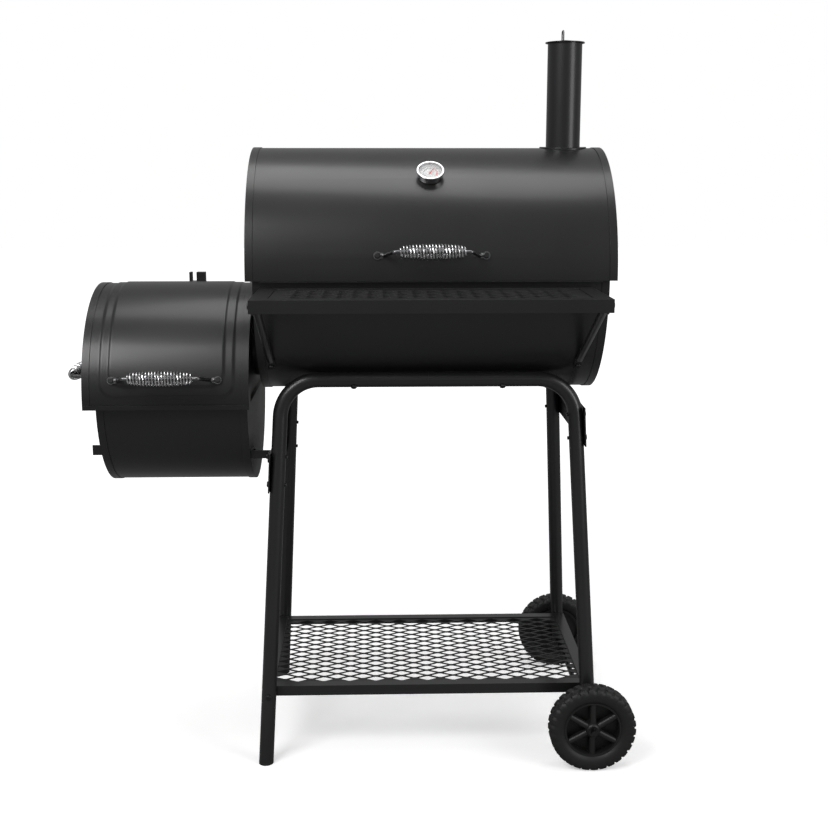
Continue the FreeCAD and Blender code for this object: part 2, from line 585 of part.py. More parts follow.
# ---------------------------------------------------------------- handles
def handle_rod(span, standoff):
    """Bent wire handle with two flattened feet, standing on the plane Z = 0 along X."""
    half, reach = span / 2, size("coil_length") / 2
    path = rounded_path([Vector(-half + 5, 0, 3.2), Vector(-half + 12, 0, 3.2), Vector(-reach - 8, 0, standoff),
                         Vector(reach + 8, 0, standoff), Vector(half - 12, 0, 3.2), Vector(half - 5, 0, 3.2)], 6.0)
    rod = tube_along(path, size("handle_rod_radius"))
    feet = []
    for side in (-1, 1):
        foot = Part.makeCylinder(6.5, 2.6, Vector(side * half, 0, 0.25))
        foot = foot.fuse(Part.makeBox(9, 9, 2.6, Vector(min(side * half, side * (half - 9)), -4.5, 0.25)))
        feet.append(foot.cut(Part.makeCylinder(size("bolt_radius") + size("bolt_clearance"), 6,
                                               Vector(side * half, 0, -1))))
    return rod.cut(Part.makeCompound([Part.makeCylinder(4.9, 12, Vector(side * half, 0, 2.85))
                                      for side in (-1, 1)])).multiFuse(feet)


def handle_coil(standoff):
    """Spring grip: a helix whose ends turn in to the rod."""
    length, turns = size("coil_length") - 6.0, size("coil_turns")
    radius, wire = size("coil_radius"), size("coil_wire")
    helix = Part.makeHelix(length / turns, length, radius)
    start = helix.Edges[0]
    ring = Part.Wire(Part.makeCircle(wire, start.valueAt(start.FirstParameter),
                                     start.tangentAt(start.FirstParameter)))
    coil = Part.Wire(helix.Edges).makePipeShell([ring], True, True)
    grip = size("handle_rod_radius") + 0.05
    spokes = [Part.makeCylinder(wire * 1.06, radius - grip + 0.4, Vector(grip, 0, z), RIGHT)
              for z in (0.2, length - 0.2)]
    coil = coil.multiFuse(spokes)
    return coil.transformed(Placement(Vector(-length / 2, 0, standoff), ALONG_X).toMatrix(), copy=True)


def handle_spots(where, span, length):
    """The two screws of a handle placed at where."""
    inward = where.Rotation.multVec(Vector(0, 0, -1))
    return [(where.multVec(Vector(side * span / 2, 0, 2.9)), inward, length) for side in (-1, 1)]


span, standoff = size("handle_span"), size("handle_standoff")
lid_handle = Placement(on_barrel(size("lid_handle_angle"), size("lid_radius") - size("sheet_steel"),
                                 0.0, size("barrel_z") + size("lid_gap")),
                       outward(size("lid_handle_angle")))
fbl_mid = fb_right + size("firebox_seal_reach") / 2 - (size("firebox_length") + size("firebox_overhang")) / 2
fb_handle = Placement(on_barrel(size("firebox_handle_angle"),
                                size("firebox_lid_radius") - size("sheet_steel") + 2 * size("panel_step"),
                                fbl_mid - size("barrel_x") - 0.5, size("firebox_z") + size("lid_gap")),
                      outward(size("firebox_handle_angle")))
fbl_left = fb_right - size("firebox_length") - size("firebox_overhang")
side_handle = Placement(Vector(fbl_left, size("barrel_y"), size("side_handle_z")),
                        Rotation(Vector(0, 1, 0), UP, Vector(-1, 0, 0), "ZXY"))
lid_spots = handle_spots(lid_handle, span, 6.0)
fb_spots = handle_spots(fb_handle, span, 8.0) + handle_spots(side_handle, span, 6.0)
lid_holes, fb_holes = drill("lid_screw_holes", lid_spots), drill("firebox_screw_holes", fb_spots)
node("lid_handle_rod", shaped("lid_handle_rod", handle_rod(span, standoff), lid_handle))
node("lid_handle_coil", shaped("lid_handle_coil", handle_coil(standoff), lid_handle))
rod, coil = handle_rod(span, standoff), handle_coil(standoff)


def pair(shape, *places):
    """Copies of a shape at several places, as one group of separate solids."""
    return Part.makeCompound([shape.transformed(where.toMatrix(), copy=True) for where in places])


node("firebox_handle_rods", shaped("firebox_handle_rods", pair(rod, fb_handle, side_handle)))
node("firebox_handle_coils", shaped("firebox_handle_coils", pair(coil, fb_handle, side_handle)))
bolts("lid_screws", lid_spots)
bolts("firebox_lid_screws", fb_spots)

# ---------------------------------------------------------------- lid
gauge = Placement(on_barrel(size("gauge_angle"), size("lid_radius") - size("sheet_steel"), 0.0,
                            size("barrel_z") + size("lid_gap")), outward(size("gauge_angle")))
stem_hole = shaped("stem_hole", Part.makeCylinder(4.6, 20, Vector(0, 0, -10)), gauge)
FLUE_CUT = rod_z("flue_cut", "chimney_radius - 3", "barrel_x + chimney_x", "barrel_y",
                 ("barrel_z + lid_radius - 12", "barrel_z + lid_radius + 12"))
skin = half_skin("lid_shell", UPPER_HALF, "lid_radius",
                 (f"{LID_LEFT} + sheet_steel", f"{LID_RIGHT} - sheet_steel"), LID_Z)
node("lid_shell", cut("lid_shell", skin, FLUE_CUT, stem_hole, lid_holes))
node("lid_end_left", end_cap("lid_left", UPPER_HALF, "lid_radius", LID_LEFT, "+", LID_Z))
node("lid_end_right", end_cap("lid_right", UPPER_HALF, "lid_radius", LID_RIGHT, "-", LID_Z))

# thermometer, built upright and placed on the lid
radius, height = "gauge_radius", "gauge_height"
GAUGE_AT = (f"barrel_x", f"barrel_y - (lid_radius - sheet_steel) * sin(gauge_angle)",
            f"barrel_z + lid_gap + (lid_radius - sheet_steel) * cos(gauge_angle)",
            outward(size("gauge_angle")))
node("thermometer_case", revolved("thermometer_case", [
    ("5.5", "0.6"), (f"{radius} - 2.5", "0.6"), (radius, f"{height} - 2"), (radius, f"{height} - 0.5"),
    (f"{radius} - 1", height), (f"{radius} - 3", height), (f"{radius} - 3", f"{height} - 2.4"),
    (f"{radius} - 1.4", f"{height} - 2.4"), (f"{radius} - 2.6", f"{height} - 7"),
    (f"{radius} - 4.2", "2.2"), ("5.5", "2.2")], *GAUGE_AT))
node("thermometer_dial", revolved("thermometer_dial", [
    ("0.9", f"{height} - 7"), (f"{radius} - 2.7", f"{height} - 7"), (f"{radius} - 2.5", f"{height} - 6.2"),
    ("0.9", f"{height} - 6.2")], *GAUGE_AT))
node("thermometer_glass", revolved("thermometer_glass", [
    ("0", f"{height} - 3.6"), (f"{radius} - 1.8", f"{height} - 3.6"), (f"{radius} - 1.5", f"{height} - 2.45"),
    ("0", f"{height} - 2.45")], *GAUGE_AT))
node("thermometer_stem", revolved("thermometer_stem", [
    ("0", "-60"), ("2.2", "-60"), ("2.2", "-7"), ("8", "-7"), ("8", "-2.6"), ("4.4", "-2.6"), ("4.4", "0.6"),
    ("5.4", "0.6"), ("5.4", f"{height} - 7.1"), ("0.8", f"{height} - 7.1"), ("0.8", f"{height} - 5.8"),
    ("0", f"{height} - 5.8")], *GAUGE_AT))
needle = Part.makeBox(19.0, 1.4, 0.5, Vector(-4.0, -0.7, size("gauge_height") - 5.5))
needle = needle.fuse(Part.makeCylinder(2.4, 0.9, Vector(0, 0, size("gauge_height") - 5.5)))
turned = Placement(Vector(), Rotation(UP, 90 + size("needle_rest_angle")))
node("thermometer_needle", shaped("thermometer_needle", needle, gauge.multiply(turned)))

# ---------------------------------------------------------------- chimney
CH_X = "barrel_x + chimney_x"
CH_BASE = "barrel_z + lid_radius - 16"
tube = cut("chimney_pipe",
           rod_z("chimney_outer", "chimney_radius", CH_X, "barrel_y", (CH_BASE, "chimney_top")),
           rod_z("chimney_bore", "chimney_radius - sheet_steel", CH_X, "barrel_y",
                 (f"{CH_BASE} - 1", "chimney_top + 1")))
flange = cut("chimney_saddle",
             rod_z("saddle_disc", "chimney_radius + 11", CH_X, "barrel_y",
                   (CH_BASE, "barrel_z + lid_radius + 4")),
             rod_z("saddle_bore", "chimney_radius - 0.5", CH_X, "barrel_y",
                   (f"{CH_BASE} - 1", "barrel_z + lid_radius + 8")))
above = rod_x("saddle_above", "lid_radius + 12", (f"{CH_X} - 60", f"{CH_X} + 60"), "barrel_y", LID_Z)
saddle_shell = doc.addObject("Part::MultiCommon", "saddle_shell")
saddle_shell.Shapes = [flange, cut("saddle_band", above, rod_x(
    "saddle_below", "lid_radius + 0.8", (f"{CH_X} - 61", f"{CH_X} + 61"), "barrel_y", LID_Z))]
under = rod_x("chimney_under", "lid_radius - sheet_steel + 0.02", (f"{CH_X} - 61", f"{CH_X} + 61"),
              "barrel_y", LID_Z)
flange_sheet = doc.addObject("Part::MultiCommon", "flange_sheet")
flange_sheet.Shapes = [flange, cut("flange_band", rod_x(
    "flange_above", "lid_radius + 0.8", (f"{CH_X} - 60", f"{CH_X} + 60"), "barrel_y", LID_Z), under)]
ear = box("cap_ear", (f"{CH_X} - 5", f"{CH_X} + 5"),
          ("barrel_y + chimney_radius - 0.6", "barrel_y + cap_pivot_reach + 5"),
          ("chimney_top - 6", "chimney_top - 1"))
pivot = fuse("cap_pivot",
             rod_z("pivot_shank", "2", CH_X, "barrel_y + cap_pivot_reach",
                   ("chimney_top - 8", "chimney_top + 3.5")),
             rod_z("pivot_head", "4", CH_X, "barrel_y + cap_pivot_reach",
                   ("chimney_top + 2.3", "chimney_top + 5")))
node("chimney_tube", fuse("chimney_tube", cut("chimney_fitted", tube, under), flange_sheet, ear, pivot))
cap = cut("cap_solid", fuse("cap_plate",
                            rod_z("cap_disc", "cap_radius", CH_X, "barrel_y",
                                  ("chimney_top + 0.3", "chimney_top + 1.9")),
                            box("cap_tongue", (f"{CH_X} - 6", f"{CH_X} + 6"),
                                ("barrel_y", "barrel_y + cap_pivot_reach + 6"),
                                ("chimney_top + 0.3", "chimney_top + 1.9"))),
          rod_z("cap_bore", "2 + running_fit", CH_X, "barrel_y + cap_pivot_reach",
                ("chimney_top - 1", "chimney_top + 3")))
dome = doc.addObject("Part::Cone", "cap_dome")
bind(dome, "Radius1", "cap_radius - 1")
bind(dome, "Radius2", "6")
bind(dome, "Height", "3.4")
place(dome, CH_X, "barrel_y", "chimney_top + 1.8")
pin_room = rod_z("cap_pin_room", "6", CH_X, "barrel_y + cap_pivot_reach",
                 ("chimney_top + 1.95", "chimney_top + 9"))
loop_top = size("cap_loop_top") - 1.2
loop_base = size("chimney_top") + 4.0
loop_x = size("barrel_x") + size("chimney_x") - 4.0
loop_path = rounded_path([Vector(loop_x, size("barrel_y") + y, z) for y, z in (
    (-9, loop_base), (-9, loop_top), (9, loop_top), (9, loop_base))], 6.0)
loop = node("cap_loop", shaped("cap_loop", tube_along(loop_path, 1.2)))
node("chimney_cap", cut("chimney_cap", fuse("cap_whole", cap, dome), pin_room, loop))

# ---------------------------------------------------------------- firebox lid
FBL_Z = "(firebox_z + lid_gap)"
fb_skin = half_skin("firebox_lid_shell", UPPER_HALF, "firebox_lid_radius",
                    (f"{FBL_LEFT} + sheet_steel", f"{FBL_RIGHT} - sheet_steel"), FBL_Z)


def raised(name, x, radius, low, high):
    """A pressed step on the firebox lid between two angles from straight up to the cook."""
    outer = rod_x(f"{name}_outer", radius, x, "barrel_y", FBL_Z,
                  Rotation(RIGHT, low + 90).multiply(UPPER_HALF), high - low)
    inner = rod_x(f"{name}_inner", "firebox_lid_radius - sheet_steel - 0.6",
                  (f"{x[0]} - 1", f"{x[1]} + 1"), "barrel_y", FBL_Z)
    return cut(f"{name}_step", outer, inner)


outer_panel = raised("outer_panel", (f"{FBL_LEFT} + 29.7", f"{FBL_RIGHT} - 25"),
                     "firebox_lid_radius - sheet_steel + panel_step", -55, 86.0)
inner_panel = raised("inner_panel", (f"{FBL_LEFT} + 44.7", f"{FBL_RIGHT} - 41"),
                     "firebox_lid_radius - sheet_steel + 2 * panel_step", -46, 80.5)
node("firebox_lid_shell", cut("firebox_lid_shell", fuse("fb_lid_embossed", fb_skin, outer_panel, inner_panel),
                              fb_holes))
node("firebox_lid_end", cut("firebox_lid_end",
                            end_cap("fbl_left", UPPER_HALF, "firebox_lid_radius", FBL_LEFT, "+", FBL_Z),
                            fb_holes))
seal = end_cap("fbl_right", UPPER_HALF, "firebox_lid_radius", FBL_RIGHT, "-", FBL_Z)
node("firebox_lid_seal", cut("firebox_lid_seal", seal, rod_x(
    "seal_room", "seal_inner_radius", (f"{FBL_RIGHT} - 20", f"{FBL_RIGHT} + 1"), "barrel_y", FBL_Z)))
top = "(firebox_z + sqrt((firebox_lid_radius - sheet_steel)^2 - 60^2))"
BR_X = f"({FB_MIDDLE} + 10)"
BR_Y = ("barrel_y + 52", "barrel_y + 68")
bracket = fuse("bracket_solid",
               box("bracket_prong", (BR_X, f"{BR_X} + 4.5"), BR_Y, (f"{top} - 4", f"{top} + 25")),
               box("bracket_block", (f"{BR_X} + 13", f"{BR_X} + 28.5"), BR_Y, (f"{top} - 4", f"{top} + 25")),
               box("bracket_foot", (f"{BR_X}", f"{BR_X} + 28.5"), BR_Y, (f"{top} - 4", f"{top} + 9")))
node("firebox_lid_bracket", cut("firebox_lid_bracket", bracket, rod_x(
    "bracket_seat", "firebox_lid_radius - sheet_steel + 2 * panel_step + 0.02",
    (f"{BR_X} - 5", f"{BR_X} + 35"), "barrel_y", FBL_Z)))

# ---------------------------------------------------------------- legs
foot_run = bar_z / math.cos(tilt)
corner_x = size("leg_foot_x") - foot_run * math.tan(splay)
for front, depth_name in ((-1, "front"), (1, "rear")):
    lean = Rotation(Vector(1, 0, 0), math.degrees(front * tilt))
    for side, side_name in ((-1, "left"), (1, "right")):
        foot_x = size("leg_foot_x")
        path = rounded_path([Vector(side * 0.25, 0, 0), Vector(side * corner_x, 0, 0),
                             Vector(side * (foot_x + 3.0 * math.tan(splay)), 0, -foot_run - 3.0)],
                            size("leg_bend_radius"))
        leg = tube_along(path, size("leg_radius")).cut(
            tube_along(path, size("leg_radius") - size("tube_wall")))
        leg.Placement = Placement(Vector(legs_x, size("barrel_y") + front * bar_y, bar_z), lean)
        ground = size("foot_plug") if side < 0 else size("wheel_radius") - 22.0
        leg = leg.cut(Part.makeBox(900, 900, 400, Vector(legs_x - 450, size("barrel_y") - 450,
                                                          ground - 400)))
        if side > 0:
            leg = leg.cut(Part.makeCylinder(size("axle_radius") + size("running_fit"), 600,
                                            Vector(leg_point(1, 1, size("wheel_radius")).x,
                                                   size("barrel_y") - 300, size("wheel_radius")),
                                            Vector(0, 1, 0)))
        label = f"{depth_name}_{side_name}_leg"
        node(label, cut(label, shaped(f"{label}_tube", leg), frame_holes))
sleeves, plugs = [], []
for front in (-1, 1):
    middle = Vector(legs_x, size("barrel_y") + front * bar_y, bar_z)
    inner = size("leg_radius") - size("tube_wall")
    sleeves.append(Part.makeCylinder(inner - 0.05, 80, middle - Vector(40, 0, 0), RIGHT).cut(
        Part.makeCylinder(inner - 1.6, 82, middle - Vector(41, 0, 0), RIGHT)))
    foot, higher = leg_point(-1, front, 0.0), leg_point(-1, front, 30.0)
    axis = higher - foot
    flange = Part.makeCylinder(size("leg_radius"), 30, foot - axis * 0.2, axis).common(
        Part.makeBox(60, 60, size("foot_plug"), foot - Vector(30, 30, 0)))
    stem = Part.makeCylinder(inner - 0.1, 26, foot - axis * 0.05, axis).common(
        Part.makeBox(60, 60, 18, foot - Vector(30, 30, -2)))
    plugs.append(flange.fuse(stem))
node("leg_sleeves", shaped("leg_sleeves", Part.makeCompound(sleeves)))
node("foot_plugs", shaped("foot_plugs", Part.makeCompound(plugs)))
for side, label in ((-1, "side_plate_left"), (1, "side_plate_right")):
    at = leg_point(side, 1, PLATE_Z[side])
    half_y = at.y - size("barrel_y") + 17.0
    plate = Part.makeBox(2.2, 2 * half_y, 2 * PLATE_HALF[side],
                         Vector(0.05 if side > 0 else -2.25, -half_y, -PLATE_HALF[side]))
    plate.Placement = Placement(Vector(at.x + side * size("leg_radius") / math.cos(splay),
                                       size("barrel_y"), at.z),
                                Rotation(Vector(0, 1, 0), -side * size("leg_splay")))
    node(label, cut(label, shaped(f"{label}_sheet", plate), frame_holes))
bolts("frame_bolts", frame_spots + strap_spots + throat_spots + shelf_spots)

# ---------------------------------------------------------------- shelves
def tray(name, x, y, top, skirt, flange, steel="1.5"):
    """Pressed frame: a top flange all round and a skirt turned down."""
    outer = box(f"{name}_outer", x, y, (f"{top} - {skirt}", top))
    hollow = box(f"{name}_hollow", (f"{x[0]} + {steel}", f"{x[1]} - {steel}"),
                 (f"{y[0]} + {steel}", f"{y[1]} - {steel}"), (f"{top} - {skirt} - 1", f"{top} - {steel}"))
    window = box(f"{name}_window", (f"{x[0]} + {flange}", f"{x[1]} - {flange}"),
                 (f"{y[0]} + {flange}", f"{y[1]} - {flange}"), (f"{top} - {skirt} - 2", f"{top} + 1"))
    return outer, hollow, window


def expanded_mesh(x, y, top):
    """Expanded sheet: a plate with staggered diamond openings."""
    long, short, strand = size("mesh_long"), size("mesh_short"), size("mesh_strand")
    half_long, half_short = long / 2 - strand * 1.6, short / 2 - strand * 0.8
    columns, rows = int((x[1] - x[0] - 8) / long * 2), int((y[1] - y[0] - 8) / short * 2)
    middle = Vector((x[0] + x[1]) / 2, (y[0] + y[1]) / 2, top - size("mesh_sheet"))
    outline = Part.makePolygon([Vector(x[0], y[0], middle.z), Vector(x[1], y[0], middle.z),
                                Vector(x[1], y[1], middle.z), Vector(x[0], y[1], middle.z),
                                Vector(x[0], y[0], middle.z)])
    holes = []
    for row in range(-rows // 2, rows // 2 + 1):
        for column in range(-columns // 2, columns // 2 + 1):
            if (row + column) % 2:
                continue
            at = middle + Vector(column * long / 2, row * short / 2, 0)
            if (abs(at.x - middle.x) + half_long > (x[1] - x[0]) / 2 - 2
                    or abs(at.y - middle.y) + half_short > (y[1] - y[0]) / 2 - 2):
                continue
            corners = [at + Vector(*shift, 0) for shift in (
                (half_long, 0), (2, half_short), (-2, half_short), (-half_long, 0),
                (-2, -half_short), (2, -half_short), (half_long, 0))]
            holes.append(Part.makePolygon(corners))
    face = Part.makeFace([outline] + holes, "Part::FaceMakerBullseye")
    return face.extrude(Vector(0, 0, size("mesh_sheet")))


SHELF_X = ("(barrel_x + shelf_shift - shelf_width / 2)", "(barrel_x + shelf_shift + shelf_width / 2)")
SHELF_Y = ("(barrel_y - shelf_reach)", "(barrel_y - barrel_radius - 0.1)")
parts = tray("front_shelf", SHELF_X, SHELF_Y, "shelf_top", "shelf_skirt", "shelf_flange")
node("front_shelf_frame", cut("front_shelf_frame", *parts, shelf_holes))
lap = size("shelf_flange") - size("mesh_lap")
half_width = size("shelf_width") / 2
node("front_shelf_mesh", shaped("front_shelf_mesh", expanded_mesh(
    (shelf_x - half_width + lap, shelf_x + half_width - lap),
    (size("barrel_y") - size("shelf_reach") + lap, size("barrel_y") - size("barrel_radius") - lap),
    size("shelf_top") - 1.5)))
for side, label in ((-1, "shelf_strut_left"), (1, "shelf_strut_right")):
    x = shelf_x + side * (half_width - 9.0)
    head = Vector(x, size("barrel_y") - size("shelf_reach") + 16.0, size("shelf_top") - size("shelf_skirt") / 2)
    foot = on_barrel(strut_foot_angle, size("barrel_radius") + 0.1, x - size("barrel_x"))
    along = (foot - head).normalize()
    start, end = head + along * 14.0, foot - along * 6.0
    bar = Part.makeCylinder(size("strut_radius"), (end - start).Length, start, along)
    wall = x + side * (9.0 - 1.5 - 0.05)
    lug = Part.makeCylinder(8.0, 3.0, Vector(wall, head.y, head.z), Vector(-side, 0, 0))
    neck = Part.makeBox(3.0, 12.0, 24.0, Vector(-1.5, -6.0, 0))
    neck.Placement = Placement(Vector(wall - side * 1.5, head.y, head.z), Rotation(UP, along))
    collar = Part.makeCylinder(size("strut_radius"), 8.0, start + along * 4.0, along)
    seat = Part.makeBox(14.0, 27.0, 2.5, Vector(-7.0, -8.0, 0.0))
    seat.Placement = Placement(on_barrel(strut_seat_angle, size("barrel_radius") + 0.1, x - size("barrel_x")),
                               outward(strut_seat_angle))
    strut = bar.multiFuse([lug, neck, collar, seat]).cut(
        Part.makeCylinder(size("barrel_radius") + 0.05, 700, Vector(shelf_x - 350, size("barrel_y"),
                                                                     size("barrel_z")), RIGHT))
    node(label, cut(label, shaped(f"{label}_bar", strut), shelf_holes))

rack_half = size("leg_foot_x") - size("rack_top") * math.tan(splay) + size("leg_radius") - 1.0
rack_y = (size("leg_foot_y") - (size("rack_top") - size("rack_skirt")) * math.tan(tilt)
          - size("leg_radius") / math.cos(tilt) - 2.0)
RACK_X = (f"({legs_x - rack_half})", f"({legs_x + rack_half})")
RACK_Y = (f"(barrel_y - {rack_y})", f"(barrel_y + {rack_y})")
parts = tray("lower_shelf", RACK_X, RACK_Y, "rack_top", "rack_skirt", "rack_flange")
node("lower_shelf_frame", cut("lower_shelf_frame", *parts, frame_holes))
lap = size("rack_flange") - size("mesh_lap")
node("lower_shelf_mesh", shaped("lower_shelf_mesh", expanded_mesh(
    (legs_x - rack_half + lap, legs_x + rack_half - lap),
    (size("barrel_y") - rack_y + lap, size("barrel_y") + rack_y - lap), size("rack_top") - 1.5)))

# ---------------------------------------------------------------- wheels
wheel_x = leg_point(1, 1, size("wheel_radius")).x
AXLE_Z, WHEEL_X = "wheel_radius", str(wheel_x)
axle = rod_y("axle_rod", "axle_radius", WHEEL_X, ("barrel_y - wheel_face_y - 8", "barrel_y + wheel_face_y + 8"),
             AXLE_Z)
cotter_holes = [rod_z(f"cotter_hole_{index}", "1.3", WHEEL_X, f"barrel_y {sign} (wheel_face_y + 4)",
                      ("wheel_radius - 9", "wheel_radius + 9")) for index, sign in enumerate("-+")]
node("axle", cut("axle", axle, *cotter_holes))
retainers = []
for front in (-1, 1):
    for offset, radius, thick in ((size("wheel_face_y") + 0.2, 9.0, 1.6),
                                  (size("wheel_face_y") - size("wheel_width") - 1.9, 9.0, 1.6)):
        low = offset if front > 0 else -offset - thick
        washer = Part.makeCylinder(radius, thick, Vector(wheel_x, size("barrel_y") + low, size("wheel_radius")),
                                   Vector(0, 1, 0))
        retainers.append(washer.cut(Part.makeCylinder(
            size("axle_radius") + 0.05, thick + 2,
            Vector(wheel_x, size("barrel_y") + low - 1, size("wheel_radius")), Vector(0, 1, 0))))
    at = Vector(wheel_x, size("barrel_y") + front * (size("wheel_face_y") + 4.0), size("wheel_radius"))
    pin = Part.makeCylinder(1.2, 18.0, at - Vector(0, 0, 8.0), UP)
    eye = Part.makeTorus(3.2, 1.2, at + Vector(0, 0, 12.2), Vector(0, 1, 0))
    retainers.append(pin.fuse(eye))
node("axle_retainers", shaped("axle_retainers", Part.makeCompound(retainers)))

tyre_outline = [("rim_radius", "4"), ("rim_radius + 6", "1.5"), ("wheel_radius - 9", "0"),
                ("wheel_radius - 2.5", "3.5"), ("wheel_radius", "9"), ("wheel_radius", "wheel_width - 9"),
                ("wheel_radius - 2.5", "wheel_width - 3.5"), ("wheel_radius - 9", "wheel_width"),
                ("rim_radius + 6", "wheel_width - 1.5"), ("rim_radius", "wheel_width - 4")]
hub_outline = [("axle_radius + running_fit", "0"), ("hub_radius", "0"), ("hub_radius", "wheel_width / 2 - 1.5"),
               ("rim_radius - 3", "wheel_width / 2 - 1.5"), ("rim_radius - 3", "5"), ("rim_radius", "5"),
               ("rim_radius", "wheel_width - 5"), ("rim_radius - 3", "wheel_width - 5"),
               ("rim_radius - 3", "wheel_width / 2 + 1.5"), ("hub_radius", "wheel_width / 2 + 1.5"),
               ("hub_radius", "wheel_width"), ("axle_radius + running_fit", "wheel_width")]
for sign, label in (("-", "front"), ("+", "rear")):
    low = "barrel_y - wheel_face_y" if sign == "-" else "barrel_y + wheel_face_y - wheel_width"
    node(f"{label}_tyre", revolved(f"{label}_tyre", tyre_outline, WHEEL_X, low, AXLE_Z, ALONG_Y))
    turned_hub = revolved(f"{label}_hub_disc", hub_outline, WHEEL_X, low, AXLE_Z, ALONG_Y)
    spokes = []
    for index in range(6):
        spoke = Part.makeBox(size("rim_radius") - size("hub_radius") - 0.5, 9.0, 16.0,
                             Vector(size("hub_radius") - 1.0, -4.5, size("wheel_width") / 2 - 8.0))
        spoke.rotate(Vector(), UP, 90 + 60 * index)
        spokes.append(spoke)
    where = Placement(Vector(wheel_x, value_of(low), size("wheel_radius")), ALONG_Y)
    star = shaped(f"{label}_spokes", Part.makeCompound(spokes).transformed(where.toMatrix(), copy=True))
    node(f"{label}_hub", fuse(f"{label}_hub", turned_hub, star))

# ---------------------------------------------------------------- build and write
doc.recompute()
faults = [obj.Name for obj in doc.Objects if {"Invalid", "Error"} & set(obj.State)]
for name, obj in nodes:
    if obj.Shape.isNull() or not obj.Shape.isValid() or not obj.Shape.Solids:
        faults.append(name)
if faults:
    raise RuntimeError(f"failed sub-parts: {faults}")
os.makedirs("parts", exist_ok=True)
for name, obj in nodes:
    obj.Shape.exportStep(f"parts/{name}.step")
    print(f"{name:24s} solids {len(obj.Shape.Solids):3d}  volume {obj.Shape.Volume:12.1f}")
print(len(nodes), "sub-parts")
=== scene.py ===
"""Finish of an offset smoker: paint, plating, sprung grips, wheels, lid pressing, dial and stage."""

import json
import math

import bpy
from bpy.props import FloatProperty, FloatVectorProperty, IntProperty, PointerProperty
from mathutils import Matrix, Vector

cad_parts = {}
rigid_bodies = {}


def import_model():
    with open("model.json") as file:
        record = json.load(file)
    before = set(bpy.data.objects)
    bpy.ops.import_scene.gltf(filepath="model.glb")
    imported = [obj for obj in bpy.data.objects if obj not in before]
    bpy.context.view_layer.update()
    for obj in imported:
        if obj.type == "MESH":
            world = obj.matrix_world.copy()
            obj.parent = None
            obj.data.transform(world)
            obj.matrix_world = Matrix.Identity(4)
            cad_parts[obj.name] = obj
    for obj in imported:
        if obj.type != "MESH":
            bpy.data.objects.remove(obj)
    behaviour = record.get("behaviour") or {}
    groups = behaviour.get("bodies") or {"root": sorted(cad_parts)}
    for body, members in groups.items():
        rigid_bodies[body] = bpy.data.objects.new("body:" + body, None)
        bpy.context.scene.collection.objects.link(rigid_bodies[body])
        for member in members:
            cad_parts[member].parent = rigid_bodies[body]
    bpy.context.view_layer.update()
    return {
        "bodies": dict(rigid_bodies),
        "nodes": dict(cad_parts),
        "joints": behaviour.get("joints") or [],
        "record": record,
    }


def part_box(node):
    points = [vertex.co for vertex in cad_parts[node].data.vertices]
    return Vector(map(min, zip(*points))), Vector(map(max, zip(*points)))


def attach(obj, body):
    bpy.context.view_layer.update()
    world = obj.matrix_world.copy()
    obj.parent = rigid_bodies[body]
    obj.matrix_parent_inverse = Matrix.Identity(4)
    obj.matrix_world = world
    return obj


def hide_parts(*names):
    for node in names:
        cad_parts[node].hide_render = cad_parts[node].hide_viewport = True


bl_info = {
    "name": "Offset Smoker Finish",
    "version": (1, 0, 0),
    "blender": (4, 5, 0),
    "location": "View3D > Sidebar > Smoker",
    "description": "Adds the finish and the detailed pieces to the offset smoker's frame",
    "category": "Object",
}

frame = {}
MM = 0.001
SHEET = 1.2 * MM                 # thickness of the firebox lid's skin
MIX_FIRST, MIX_SECOND = 6, 7     # colour inputs of a Mix node
MIX_RESULT = 2                   # its colour output


# ---------------------------------------------------------------- settings
class SmokerPaintSettings(bpy.types.PropertyGroup):
    """Colours and gloss of the painted and plated sheets"""

    body_color: FloatVectorProperty(name="Body paint", description="Heat-proof paint of barrel and firebox",
                                    subtype="COLOR", size=3, min=0, max=1, default=(0.0075, 0.0075, 0.0078))
    frame_color: FloatVectorProperty(name="Frame paint", description="Powder coat of legs and shelves",
                                     subtype="COLOR", size=3, min=0, max=1, default=(0.011, 0.011, 0.0113))
    chrome_color: FloatVectorProperty(name="Chrome", description="Bright plating of the sprung grips",
                                      subtype="COLOR", size=3, min=0, max=1, default=(0.62, 0.62, 0.63))
    body_roughness: FloatProperty(name="Body roughness", description="Roughness of the body paint",
                                  min=0, max=1, default=0.36)
    frame_roughness: FloatProperty(name="Frame roughness", description="Roughness of the frame's paint",
                                   min=0, max=1, default=0.34)
    grain_size: FloatProperty(name="Grain", description="Noise cells per metre in the paint",
                              min=1, default=650.0)
    edge_radius: FloatProperty(name="Edge radius", description="Soft radius shown on sheet edges",
                               unit="LENGTH", min=0, default=0.0008)


class SmokerGripSettings(bpy.types.PropertyGroup):
    """Sprung wire grips of the three handles"""

    turns: IntProperty(name="Turns", description="Turns of the spring", min=4, default=21)
    length: FloatProperty(name="Length", description="Length of the spring along the rod",
                          unit="LENGTH", min=0.01, default=0.106)
    middle_radius: FloatProperty(name="Middle radius", description="Wire's radius from the rod at the middle",
                                 unit="LENGTH", min=0, default=0.0119)
    end_radius: FloatProperty(name="End radius", description="Wire's radius from the rod at the ends",
                              unit="LENGTH", min=0, default=0.0078)
    wire: FloatProperty(name="Wire radius", description="Radius of the spring wire",
                        unit="LENGTH", min=0, default=0.00135)


class SmokerWheelSettings(bpy.types.PropertyGroup):
    """Moulded wheels"""

    lugs: IntProperty(name="Lugs", description="Tread lugs round one wheel", min=6, default=30)
    groove: FloatProperty(name="Groove", description="Depth of the grooves between lugs",
                          unit="LENGTH", min=0, default=0.0028)
    spokes: IntProperty(name="Spokes", description="Round spokes of a hub", min=3, default=6)
    spoke_radius: FloatProperty(name="Spoke radius", description="Radius of a round spoke",
                                unit="LENGTH", min=0, default=0.0058)


